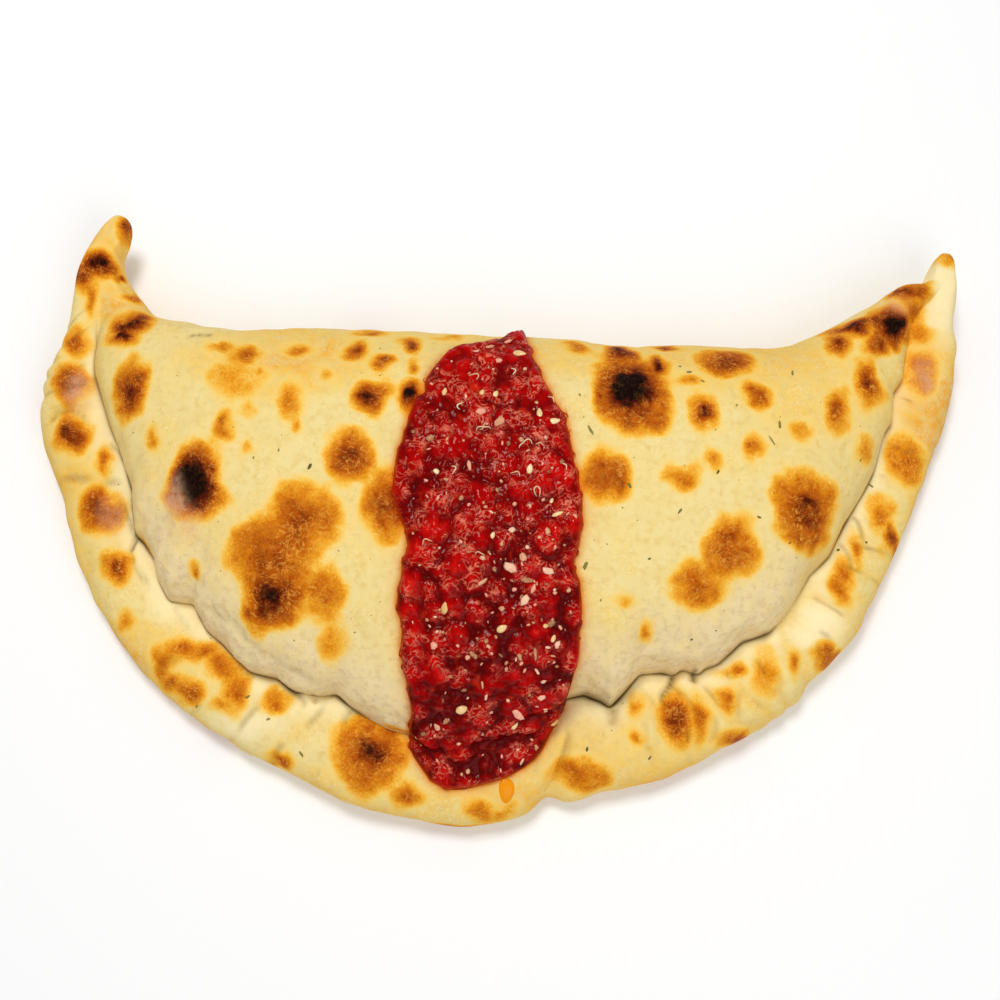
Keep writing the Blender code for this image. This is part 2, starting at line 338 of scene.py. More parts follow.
def smooth_step(low, high, value):
    """0 below low, 1 above high and a smooth rise between them. With high under low it falls."""
    t = np.clip((value - low) / (high - low), 0, 1)
    return t * t * (3 - 2 * t)


def line_distance(points, line):
    """In plan, the signed distance to a line of points and the share of it that has gone by."""
    xy = points[..., :2]
    nearest = np.full(points.shape[:-1], 1e9)
    signed = np.zeros(points.shape[:-1])
    share = np.zeros(points.shape[:-1])
    line = np.array(line)
    spans = np.linalg.norm(np.diff(line, axis=0), axis=1)
    gone = np.concatenate([[0], np.cumsum(spans)])
    for start, end, before, span in zip(line[:-1], line[1:], gone, spans):
        step = (end - start) / span
        reach = np.clip((xy - start) @ step, 0, span)
        offset = xy - start - reach[..., None] * step
        distance = np.linalg.norm(offset, axis=-1)
        side = step[0] * offset[..., 1] - step[1] * offset[..., 0]
        closer = distance < nearest
        nearest = np.where(closer, distance, nearest)
        signed = np.where(closer, np.where(side < 0, -distance, distance), signed)
        share = np.where(closer, (before + reach) / gone[-1], share)
    return signed, share


# Clefts and folds in the dough, as lines in plan. The dough drops by depth along the line, stands up by lip on
# the left of its direction, and is darkened by shade, the strength of the painted shade along it. A negative depth is a
# ridge.
Groove = namedtuple("Groove", "depth width lip shade line")
GROOVES = (
    # The left rim.
    Groove(-0.0010, 0.0018, 0.0, 0.0, ((-0.1585, 0.0570), (-0.1553, 0.0530), (-0.1515, 0.0490))),
    Groove(0.0016, 0.0016, 0.0016, 0.3, ((-0.1450, 0.0310), (-0.1480, 0.0345), (-0.1520, 0.0361), (-0.1600, 0.0355))),
    Groove(0.0012, 0.0010, 0.0005, 0.4, ((-0.1322, 0.0202), (-0.1350, 0.0222), (-0.1385, 0.0250))),
    Groove(0.0008, 0.0018, 0.0006, 0.0, ((-0.1350, 0.0100), (-0.1420, 0.0120), (-0.1500, 0.0095))),
    Groove(0.0012, 0.0010, 0.0006, 0.5, ((-0.1338, 0.0047), (-0.1313, 0.0008), (-0.1293, -0.0035), (-0.1274, -0.0090))),
    Groove(0.0016, 0.0010, 0.0006, 0.9, ((-0.1262, -0.0080), (-0.1279, -0.0122), (-0.1288, -0.0152))),
    Groove(0.0008, 0.0010, 0.0005, 0.4, ((-0.1283, -0.0140), (-0.1271, -0.0190), (-0.1245, -0.0232), (-0.1208, -0.0258))),
    Groove(0.0010, 0.0018, 0.0008, 0.0, ((-0.1260, -0.0250), (-0.1330, -0.0275), (-0.1400, -0.0300))),
    Groove(0.0010, 0.0014, 0.0006, 0.1, ((-0.1145, -0.0325), (-0.1125, -0.0350), (-0.1100, -0.0385), (-0.1065, -0.0425))),
    # The lobes of the front rim, left of the sauce.
    Groove(0.0016, 0.0014, 0.0006, 0.3, ((-0.0703, -0.0615), (-0.0686, -0.0646), (-0.0660, -0.0680))),
    Groove(0.0012, 0.0012, 0.0004, 0.2, ((-0.0640, -0.0625), (-0.0630, -0.0672))),
    Groove(0.0018, 0.0015, 0.0008, 0.4, ((-0.0500, -0.0680), (-0.0525, -0.0712), (-0.0532, -0.0745))),
    # The pleats right of the sauce.
    Groove(0.0030, 0.0017, 0.0006, 0.4, ((0.0383, -0.0675), (0.0386, -0.0715), (0.0380, -0.0745))),
    Groove(0.0030, 0.0014, 0.0010, 0.8, ((0.0602, -0.0555), (0.0586, -0.0604), (0.0561, -0.0636), (0.0545, -0.0675))),
    Groove(0.0026, 0.0014, 0.0008, 0.8, ((0.0666, -0.0545), (0.0665, -0.0572), (0.0667, -0.0602))),
    Groove(0.0016, 0.0010, 0.0004, 0.5, ((0.0638, -0.0755), (0.0640, -0.0805))),
    Groove(-0.0012, 0.0018, 0.0, 0.0, ((0.0505, -0.0700), (0.0512, -0.0760), (0.0505, -0.0830))),
    Groove(
        0.0020, 0.0018, 0.0016, 0.12,
        ((0.0235, -0.0745), (0.0225, -0.0800), (0.0200, -0.0870), (0.0170, -0.0930), (0.0140, -0.1000)),
    ),
    Groove(0.0014, 0.0014, 0.0007, 0.2, ((0.0735, -0.0700), (0.0733, -0.0760), (0.0727, -0.0815))),
    Groove(0.0014, 0.0012, 0.0006, 0.3, ((0.0825, -0.0620), (0.0815, -0.0680), (0.0812, -0.0730))),
    Groove(0.0012, 0.0012, 0.0006, 0.1, ((0.0955, -0.0560), (0.0962, -0.0605), (0.0960, -0.0650))),
    Groove(0.0014, 0.0012, 0.0007, 0.2, ((0.1095, -0.0460), (0.1103, -0.0505), (0.1095, -0.0560))),
    Groove(0.0012, 0.0010, 0.0006, 0.5, ((0.1225, -0.0005), (0.1251, -0.0030), (0.1262, -0.0070), (0.1272, -0.0120))),
    Groove(0.0012, 0.0010, 0.0006, 0.4, ((0.1172, -0.0098), (0.1197, -0.0126), (0.1216, -0.0165), (0.1225, -0.0220))),
    # Soft folds of the dome: low along the seam, and at its back by the left horn.
    Groove(
        0.0014, 0.0020, 0.0008, 0.3,
        ((-0.0560, -0.0625), (-0.0627, -0.0588), (-0.0684, -0.0566), (-0.0738, -0.0529), (-0.0799, -0.0488),
         (-0.0834, -0.0471), (-0.0871, -0.0430), (-0.0917, -0.0387), (-0.0979, -0.0361), (-0.1038, -0.0339)),
    ),
    Groove(0.0012, 0.0010, 0.0008, 0.7, ((-0.0990, 0.0590), (-0.1037, 0.0597), (-0.1090, 0.0580))),
    Groove(0.0012, 0.0014, 0.0008, 0.2, ((-0.1375, 0.0900), (-0.1380, 0.0865), (-0.1355, 0.0820), (-0.1320, 0.0775))),
)
GROOVE_END = 0.22  # the share of its length over which a groove fades out at each end
LIP_REACH = 2.5  # a lip's reach, in groove widths
SHADE_SHARE = 0.6  # the width of its line of painted shade, as a share of a groove's


def grooves_at(points):
    """How far the clefts and folds push the dough up and down at each point, and how dark the painted shade along them
    is.
    """
    rise = np.zeros(points.shape[:-1])
    shade = np.zeros(points.shape[:-1])
    for groove in GROOVES:
        line = np.array(groove.line)
        margin = 4 * LIP_REACH * groove.width
        low, high = line.min(axis=0) - margin, line.max(axis=0) + margin
        near = np.all((points[..., :2] > low) & (points[..., :2] < high), axis=-1)
        signed, share = line_distance(points[near], line)
        faded = smooth_step(0.0, GROOVE_END, share) * smooth_step(1.0, 1 - GROOVE_END, share)
        dip = -groove.depth * np.exp(-((signed / groove.width) ** 2))
        lip = groove.lip * np.exp(-np.abs(signed) / (LIP_REACH * groove.width)) * (signed > 0)
        rise[near] += faded * (dip + lip)
        # Painted shade along the groove's line.
        line_shade = groove.shade * np.exp(-((signed / (SHADE_SHARE * groove.width)) ** 2))
        shade[near] = np.maximum(shade[near], faded * line_shade)
    return rise, shade


# The crimped rim is twisted like rope: strands that slant across it.
Rope = namedtuple("Rope", "from_rib to_rib strands slant height")
ROPES = (
    Rope(2.6, 5.3, 8, 1.4, 0.0020),
    Rope(5.7, 7.3, 6, 0.8, 0.0020),
    Rope(8.7, 12.1, 18, -1.8, 0.0026),
)
ROPE_END = 0.3  # in ribs
VALLEY_ROUNDING = 0.18  # 0 would leave the valleys between strands sharp
RIM_WIDTH = 0.028


def strands_at(points, places, past):
    """How far the rope-like strands of the rim stand out, and how dark the painted shade in the valleys between them
    is.
    """
    across = np.clip(past / RIM_WIDTH, 0, 1)
    on_rim = smooth_step(0.03, 0.25, across) * smooth_step(1.1, 0.7, across)
    rise = np.zeros(past.shape)
    shade = np.zeros(past.shape)
    for rope in ROPES:
        along = (places - rope.from_rib) / (rope.to_rib - rope.from_rib)
        turns = rope.strands * along + rope.slant * across + 0.3 * ripple(points, 0.030, 5)
        strand = np.hypot(np.sin(math.pi * turns), VALLEY_ROUNDING)
        ends = smooth_step(rope.from_rib, rope.from_rib + ROPE_END, places)
        ends = ends * smooth_step(rope.to_rib, rope.to_rib - ROPE_END, places) * on_rim
        uneven = np.clip(1 + 0.6 * ripple(points, 0.04, 6), 0.2, None)
        rise += rope.height * uneven * (strand**0.6 - 0.65) * ends
        # Painted shade in the valleys between the strands.
        shade += smooth_step(0.4, VALLEY_ROUNDING, strand) * smooth_step(-0.2, 0.8, ripple(points, 0.012, 7)) * ends
    return rise, shade


# ---------------------------------------------------------------------------------------------------------
# Where the oven has marked the crust. Heat goes from a faint gold at 0.2 to burnt black at 1.
# ---------------------------------------------------------------------------------------------------------

Spot = namedtuple("Spot", "x y reach_x reach_y heat")
SPOTS = (
    # The left horn, and the fold beside it.
    Spot(-0.1322, 0.1042, 0.0050, 0.0075, 0.62),
    Spot(-0.1442, 0.0892, 0.0070, 0.0068, 0.91),
    Spot(-0.1490, 0.0838, 0.0052, 0.0062, 0.74),
    Spot(-0.1470, 0.0768, 0.0024, 0.0064, 0.42),
    Spot(-0.1362, 0.0861, 0.0026, 0.0028, 0.66),
    Spot(-0.1294, 0.0781, 0.0053, 0.0025, 0.45),
    Spot(-0.1296, 0.0655, 0.0086, 0.0066, 0.78),
    Spot(-0.1318, 0.0592, 0.0070, 0.0046, 0.88),
    Spot(-0.1279, 0.0394, 0.0068, 0.0115, 0.75),
    Spot(-0.1174, 0.0210, 0.0026, 0.0042, 0.38),
    # The dome, left of the sauce.
    Spot(-0.1015, 0.0050, 0.0112, 0.0140, 1.05),
    Spot(-0.0917, 0.0243, 0.0034, 0.0050, 0.58),
    Spot(-0.0851, 0.0283, 0.0018, 0.0018, 0.40),
    Spot(-0.0832, 0.0168, 0.0028, 0.0026, 0.36),
    Spot(-0.0703, 0.0314, 0.0050, 0.0064, 0.42),
    Spot(-0.0675, 0.0229, 0.0020, 0.0020, 0.38),
    Spot(-0.0966, 0.0534, 0.0045, 0.0025, 0.42),
    Spot(-0.0871, 0.0512, 0.0068, 0.0038, 0.66),
    Spot(-0.0689, 0.0527, 0.0050, 0.0034, 0.62),
    Spot(-0.0493, 0.0513, 0.0055, 0.0045, 0.74),
    Spot(-0.0451, 0.0601, 0.0055, 0.0018, 0.60),
    Spot(-0.0400, 0.0460, 0.0036, 0.0032, 0.66),
    Spot(-0.0304, 0.0553, 0.0047, 0.0048, 0.74),
    Spot(-0.0288, 0.0447, 0.0028, 0.0028, 0.55),
    Spot(-0.0179, 0.0598, 0.0050, 0.0022, 0.55),
    Spot(-0.0907, 0.0418, 0.0018, 0.0018, 0.34),
    Spot(-0.0830, 0.0440, 0.0015, 0.0015, 0.28),
    Spot(-0.0890, 0.0400, 0.0095, 0.0070, 0.18),
    Spot(-0.0587, 0.0421, 0.0022, 0.0022, 0.30),
    Spot(-0.0428, 0.0335, 0.0068, 0.0056, 0.80),
    Spot(-0.0300, 0.0330, 0.0048, 0.0068, 0.95),
    Spot(-0.0495, 0.0122, 0.0088, 0.0090, 0.70),
    Spot(-0.0385, -0.0040, 0.0078, 0.0118, 0.64),
    Spot(-0.0745, -0.0220, 0.0155, 0.0175, 0.60),
    Spot(-0.0665, -0.0085, 0.0090, 0.0125, 0.61),
    Spot(-0.0752, -0.0350, 0.0108, 0.0096, 0.86),
    Spot(-0.0581, -0.0090, 0.0070, 0.0090, 0.46),
    Spot(-0.0579, -0.0336, 0.0080, 0.0090, 0.48),
    Spot(-0.0545, -0.0469, 0.0036, 0.0058, 0.24),
    Spot(-0.1020, -0.0230, 0.0020, 0.0020, 0.45),
    # The left rim, from its horn round to the sauce.
    Spot(-0.1509, 0.0613, 0.0050, 0.0062, 0.60),
    Spot(-0.1520, 0.0445, 0.0064, 0.0084, 0.70),
    Spot(-0.1518, 0.0285, 0.0054, 0.0080, 0.78),
    Spot(-0.1395, 0.0191, 0.0030, 0.0050, 0.50),
    Spot(-0.1401, 0.0004, 0.0088, 0.0100, 0.68),
    Spot(-0.1332, -0.0194, 0.0052, 0.0068, 0.68),
    Spot(-0.1290, -0.0390, 0.0038, 0.0040, 0.36),
    Spot(-0.1165, -0.0530, 0.0052, 0.0072, 0.48),
    Spot(-0.1105, -0.0485, 0.0072, 0.0040, 0.46),
    Spot(-0.1020, -0.0490, 0.0070, 0.0038, 0.50),
    Spot(-0.0950, -0.0535, 0.0060, 0.0046, 0.52),
    Spot(-0.0905, -0.0610, 0.0044, 0.0070, 0.46),
    Spot(-0.0945, -0.0668, 0.0040, 0.0030, 0.36),
    Spot(-0.1125, -0.0597, 0.0062, 0.0042, 0.46),
    Spot(-0.1060, -0.0622, 0.0056, 0.0050, 0.50),
    Spot(-0.0760, -0.0666, 0.0046, 0.0036, 0.46),
    Spot(-0.0747, -0.0864, 0.0056, 0.0030, 0.62),
    Spot(-0.0449, -0.0835, 0.0134, 0.0142, 0.62),
    Spot(-0.0440, -0.0830, 0.0080, 0.0088, 0.74),
    Spot(-0.0319, -0.0971, 0.0058, 0.0048, 0.52),
    Spot(-0.0060, -0.1030, 0.0064, 0.0040, 0.46),
    Spot(0.0012, -0.1022, 0.0040, 0.0034, 0.30),
    # The dome, right of the sauce.
    Spot(0.0440, 0.0345, 0.0142, 0.0160, 0.86),
    Spot(0.0455, 0.0368, 0.0090, 0.0098, 0.90),
    Spot(0.0407, 0.0520, 0.0070, 0.0062, 0.80),
    Spot(0.0533, 0.0470, 0.0045, 0.0046, 0.80),
    Spot(0.0264, 0.0533, 0.0056, 0.0032, 0.66),
    Spot(0.0583, 0.0560, 0.0060, 0.0022, 0.70),
    Spot(0.0777, 0.0489, 0.0108, 0.0074, 0.72),
    Spot(0.0683, 0.0276, 0.0058, 0.0074, 0.88),
    Spot(0.0869, 0.0349, 0.0048, 0.0056, 0.62),
    Spot(0.0636, 0.0395, 0.0048, 0.0024, 0.36),
    Spot(0.0852, 0.0167, 0.0038, 0.0046, 0.48),
    Spot(0.1015, 0.0224, 0.0040, 0.0032, 0.32),
    Spot(0.1145, 0.0320, 0.0056, 0.0088, 0.64),
    Spot(0.1269, 0.0413, 0.0064, 0.0098, 0.69),
    Spot(0.1241, 0.0183, 0.0048, 0.0046, 0.32),
    Spot(0.0353, 0.0056, 0.0084, 0.0094, 0.71),
    Spot(0.0595, 0.0053, 0.0056, 0.0056, 0.46),
    Spot(0.0697, 0.0107, 0.0042, 0.0036, 0.34),
    Spot(0.1018, -0.0040, 0.0122, 0.0134, 0.68),
    Spot(0.1046, -0.0012, 0.0090, 0.0100, 0.54),
    Spot(0.0760, -0.0170, 0.0105, 0.0100, 0.58),
    Spot(0.0650, -0.0290, 0.0095, 0.0090, 0.52),
    Spot(0.0800, -0.0090, 0.0038, 0.0040, 0.34),
    Spot(0.0417, -0.0343, 0.0026, 0.0022, 0.26),
    Spot(0.0480, -0.0444, 0.0024, 0.0028, 0.36),
    # The right horn and the fold beside it.
    Spot(0.1380, 0.0645, 0.0100, 0.0092, 0.94),
    Spot(0.1450, 0.0780, 0.0078, 0.0048, 0.70),
    Spot(0.1470, 0.0715, 0.0066, 0.0052, 0.52),
    Spot(0.1245, 0.0635, 0.0105, 0.0042, 0.78),
    Spot(0.1180, 0.0560, 0.0052, 0.0060, 0.70),
    Spot(0.1318, 0.0565, 0.0060, 0.0060, 0.66),
    Spot(0.1612, 0.0925, 0.0040, 0.0040, 0.40),
    # The right rim, from its horn round to the sauce.
    Spot(0.1502, 0.0654, 0.0046, 0.0050, 0.30),
    Spot(0.1502, 0.0500, 0.0056, 0.0090, 0.38),
    Spot(0.1434, 0.0193, 0.0070, 0.0096, 0.44),
    Spot(0.1331, -0.0019, 0.0050, 0.0070, 0.40),
    Spot(0.1374, -0.0105, 0.0026, 0.0084, 0.64),
    Spot(0.1246, -0.0140, 0.0024, 0.0058, 0.42),
    Spot(0.1190, -0.0254, 0.0050, 0.0082, 0.46),
    Spot(0.1137, -0.0506, 0.0066, 0.0054, 0.52),
    Spot(0.1004, -0.0527, 0.0026, 0.0050, 0.42),
    Spot(0.0909, -0.0576, 0.0040, 0.0084, 0.24),
    Spot(0.0804, -0.0555, 0.0048, 0.0028, 0.48),
    Spot(0.0773, -0.0664, 0.0044, 0.0040, 0.44),
    Spot(0.0819, -0.0778, 0.0080, 0.0036, 0.66),
    Spot(0.0677, -0.0727, 0.0028, 0.0076, 0.46),
    Spot(0.0602, -0.0724, 0.0066, 0.0100, 0.70),
    Spot(0.0460, -0.0680, 0.0024, 0.0042, 0.36),
    Spot(0.0461, -0.0788, 0.0024, 0.0028, 0.40),
    Spot(0.0262, -0.0912, 0.0110, 0.0058, 0.40),
    Spot(0.0225, -0.0902, 0.0060, 0.0048, 0.42),
    Spot(0.0345, -0.0915, 0.0056, 0.0044, 0.32),
)
SPOT_SOFT = 0.0034  # how far in from its edge a wide spot has browned
SPOT_SOFT_SHARE = 0.9  # and a small one, as a share of its reach
SPOT_BROWN = 0.60  # the share of its heat that its brown outer part has: the rest is its core's
SPOT_HALO = 0.0026  # how far out its faint halo reaches
HALO_HEAT = 0.10
SPOT_HEIGHT = 2.5  # a spot's reach up and down a steep side, as a share of its longer reach
SPOT_EVEN = 0.4  # the share of that reach over which it stays the same
SPOT_BLEND = 4  # power by which overlapping spots join
BLISTER_HEAT = 0.72  # a spot hotter than this stands up as a blister
BLISTER_HEIGHT = 0.0009
# The painted shade at the bottom of the open crease: the width of its line, and the strength of all the crust's painted
# shade.
CREASE_SHADE_WIDTH = 0.0006
PAINTED_SHADE_STRENGTH = 0.85
SEALED = 0.1  # an opening under which spots run across the crease
CREASE_SIDE_LIGHT = 0.6  # painted light: how much paler the rim is painted beside the crease, against the shade there
STRAND_SHADE_GOLD = 420  # painted shade: how much more golden the valleys between the strands are, and how much paler their tops, for each metre of depth
VALLEY_SHADE = 0.4  # how dark the painted shade in those valleys is, beside that of the folds
EDGE_GOLD = 0.7  # how golden the rim's outer edge is
UNDER_HEAT = 0.7  # the heat of the marks on the underside and the steep walls
HIDDEN_TILT = 0.4  # these start where the skin's normal rises less than this
OIL_STRENGTH = 0.9  # how orange the crust is right at the sauce
OIL_REACH = 0.0011

# Ash and flour that stayed on the crust, greyish pink.
ASH = (
    Spot(-0.1085, -0.0010, 0.0050, 0.0090, 0.9),
    Spot(-0.1045, -0.0100, 0.0040, 0.0050, 0.7),
    Spot(-0.1488, 0.0425, 0.0044, 0.0074, 0.9),
    Spot(-0.1350, -0.0020, 0.0050, 0.0080, 0.5),
    Spot(0.1510, 0.0480, 0.0040, 0.0080, 0.7),
    Spot(0.1390, 0.0730, 0.0050, 0.0030, 0.5),
)

# Broad warm areas where the dough is gold instead of cream.
GOLD = (
    Spot(-0.1430, 0.0950, 0.0160, 0.0200, 1.0),
    Spot(-0.1330, 0.0760, 0.0140, 0.0120, 1.2),
    Spot(-0.1500, 0.0150, 0.0140, 0.0500, 0.8),
    Spot(-0.0740, 0.0490, 0.0370, 0.0170, 1.0),
    Spot(-0.0300, 0.0550, 0.0400, 0.0120, 0.4),
    Spot(-0.1300, -0.0560, 0.0300, 0.0200, 0.9),
    Spot(-0.0300, -0.0960, 0.0500, 0.0120, 0.4),
    Spot(0.0010, -0.0985, 0.0160, 0.0070, 1.1),
    Spot(0.0700, 0.0500, 0.0600, 0.0160, 0.9),
    Spot(0.1050, 0.0450, 0.0400, 0.0240, 0.35),
    Spot(0.1500, 0.0800, 0.0180, 0.0200, 0.1),
    Spot(0.1540, 0.0290, 0.0170, 0.0360, 1.2),
    Spot(0.1200, -0.0300, 0.0200, 0.0300, 0.15),
    Spot(0.0450, -0.0850, 0.0450, 0.0150, 0.5),
    Spot(0.0700, -0.0700, 0.0300, 0.0120, 0.4),
)

# Where it stayed pale.
WHITE = (
    Spot(0.1560, 0.0790, 0.0110, 0.0200, 0.6),
    Spot(0.1100, -0.0400, 0.0120, 0.0090, 0.7),
    Spot(-0.0850, -0.0730, 0.0140, 0.0070, 0.5),
)


def heat_of(points, spots, side=None):
    """The joined heat of the spots at each point. A spot stays on its own side of the open crease, where side is
    -1 on the dome and 1 on the rim.
    """
    x, y, z = np.moveaxis(points, -1, 0)
    x = x + 0.0012 * ripple(points, 0.012, 11) + 0.0006 * ripple(points, 0.005, 12)
    y = y + 0.0012 * ripple(points, 0.012, 13) + 0.0006 * ripple(points, 0.005, 14)
    total = np.zeros(x.shape)
    for spot in spots:
        reach_z = SPOT_HEIGHT * max(spot.reach_x, spot.reach_y)
        plan = np.hypot((x - spot.x) / spot.reach_x, (y - spot.y) / spot.reach_y)
        if plan.min() > 1:
            continue
        top = z[plan < 1].max()
        below = np.clip((top - z - SPOT_EVEN * reach_z) / ((1 - SPOT_EVEN) * reach_z), 0, None)
        distance = np.hypot(plan, below)
        least = min(spot.reach_x, spot.reach_y)
        soft = min(SPOT_SOFT, SPOT_SOFT_SHARE * least)
        inward = (1 - distance) * least
        brown = SPOT_BROWN * smooth_step(-0.3 * soft, soft, inward)
        core = (1 - SPOT_BROWN) * smooth_step(0.1, 0.95, 1 - distance)
        shown = spot.heat * (brown + core) + HALO_HEAT * smooth_step(-SPOT_HALO, 0, inward)
        if side is not None:
            centre = np.where(z > top - reach_z, plan, np.inf).argmin()
            shown = np.where(side * side.flat[centre] < 0, 0.0, shown)
        total += shown**SPOT_BLEND
    return total ** (1 / SPOT_BLEND)


# ---------------------------------------------------------------------------------------------------------
# Meshes.
# ---------------------------------------------------------------------------------------------------------


def new_piece(name, points, faces, finish, fields=()):
    """A smooth mesh piece with its named number fields, riding on the calzone's body."""
    mesh = bpy.data.meshes.new(name)
    mesh.from_pydata(points.reshape(-1, 3), [], faces)
    mesh.materials.append(finish)
    mesh.shade_smooth()
    for field, values in dict(fields).items():
        layer = mesh.attributes.new(field, "FLOAT", "POINT")
        layer.data.foreach_set("value", np.asarray(values, dtype=np.float32).ravel())
    piece = bpy.data.objects.new(name, mesh)
    bpy.context.scene.collection.objects.link(piece)
    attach(piece, BODY)
    return piece


def ring_faces(rings, count):
    """The faces of a closed body through rings of count points, with a cap at each end."""
    corner = np.arange(count)
    after = (corner + 1) % count
    low = (np.arange(rings - 1) * count)[:, None]
    quads = np.stack([low + corner, low + after, low + count + after, low + count + corner], axis=2)
    faces = quads.reshape(-1, 4).tolist()
    faces.append(list(range(count - 1, -1, -1)))
    faces.append(list(range((rings - 1) * count, rings * count)))
    return faces


# ---------------------------------------------------------------------------------------------------------
# Materials.
# ---------------------------------------------------------------------------------------------------------


def srgb(red, green, blue):
    """A linear colour from the 0 to 255 values that it shows as."""
    shares = np.array([red, green, blue]) / 255
    linear = np.where(shares <= 0.04045, shares / 12.92, ((shares + 0.055) / 1.055) ** 2.4)
    return (*linear, 1.0)


class Shader:
    """A material with short ways to add its nodes."""

    def __init__(self, name):
        self.material = bpy.data.materials.new(name)
        self.material.use_nodes = True
        self.tree = self.material.node_tree
        self.principled = self.tree.nodes["Principled BSDF"]
        self.place = self.tree.nodes.new("ShaderNodeTexCoord").outputs["Object"]

    def node(self, kind, inputs, output=0, **settings):
        made = self.tree.nodes.new(kind)
        for name, value in settings.items():
            setattr(made, name, value)
        for name, value in inputs.items():
            self.set(made.inputs[name], value)
        return made.outputs[output]

    def set(self, socket, value):
        if isinstance(value, bpy.types.NodeSocket):
            self.tree.links.new(value, socket)
        else:
            socket.default_value = value

    def field(self, name):
        return self.node("ShaderNodeAttribute", {}, "Fac", attribute_name=name)

    def noise(self, size, detail=2.0, roughness=0.5, distortion=0.0, place=None):
        """Noise with features of about this size in metres, from 0 to 1."""
        settings = {"Scale": 1 / size, "Detail": detail, "Roughness": roughness, "Distortion": distortion}
        return self.node("ShaderNodeTexNoise", {"Vector": place or self.place, **settings}, "Fac")

    def math(self, operation, first, second=0.0, clamp=False):
        inputs = {0: first, 1: second}
        return self.node("ShaderNodeMath", inputs, operation=operation, use_clamp=clamp)

    def scaled(self, value, low, high, to_low=0.0, to_high=1.0):
        """The value from one range to another, held within the second."""
        inputs = {"Value": value, "From Min": low, "From Max": high, "To Min": to_low, "To Max": to_high}
        return self.node("ShaderNodeMapRange", inputs)

    def mix(self, amount, first, second, blend="MIX"):
        made = self.tree.nodes.new("ShaderNodeMix")
        made.data_type = "RGBA"
        made.blend_type = blend
        self.set(made.inputs[0], amount)
        self.set(made.inputs[6], first)
        self.set(made.inputs[7], second)
        return made.outputs[2]

    def ramp(self, value, stops):
        """A colour ramp through (position, colour) stops."""
        made = self.tree.nodes.new("ShaderNodeValToRGB")
        self.set(made.inputs["Fac"], value)
        elements = made.color_ramp.elements
        while len(elements) < len(stops):
            elements.new(0.5)
        for element, (position, colour) in zip(elements, stops):
            element.position = position
            element.color = colour
        return made.outputs["Color"]

    def bump(self, height, distance, strength=1.0, normal=None):
        inputs = {"Height": height, "Distance": distance, "Strength": strength}
        if normal is not None:
            inputs["Normal"] = normal
        return self.node("ShaderNodeBump", inputs)

    def finish(self, **inputs):
        for name, value in inputs.items():
            self.set(self.principled.inputs[name.replace("_", " ")], value)
        return self.material


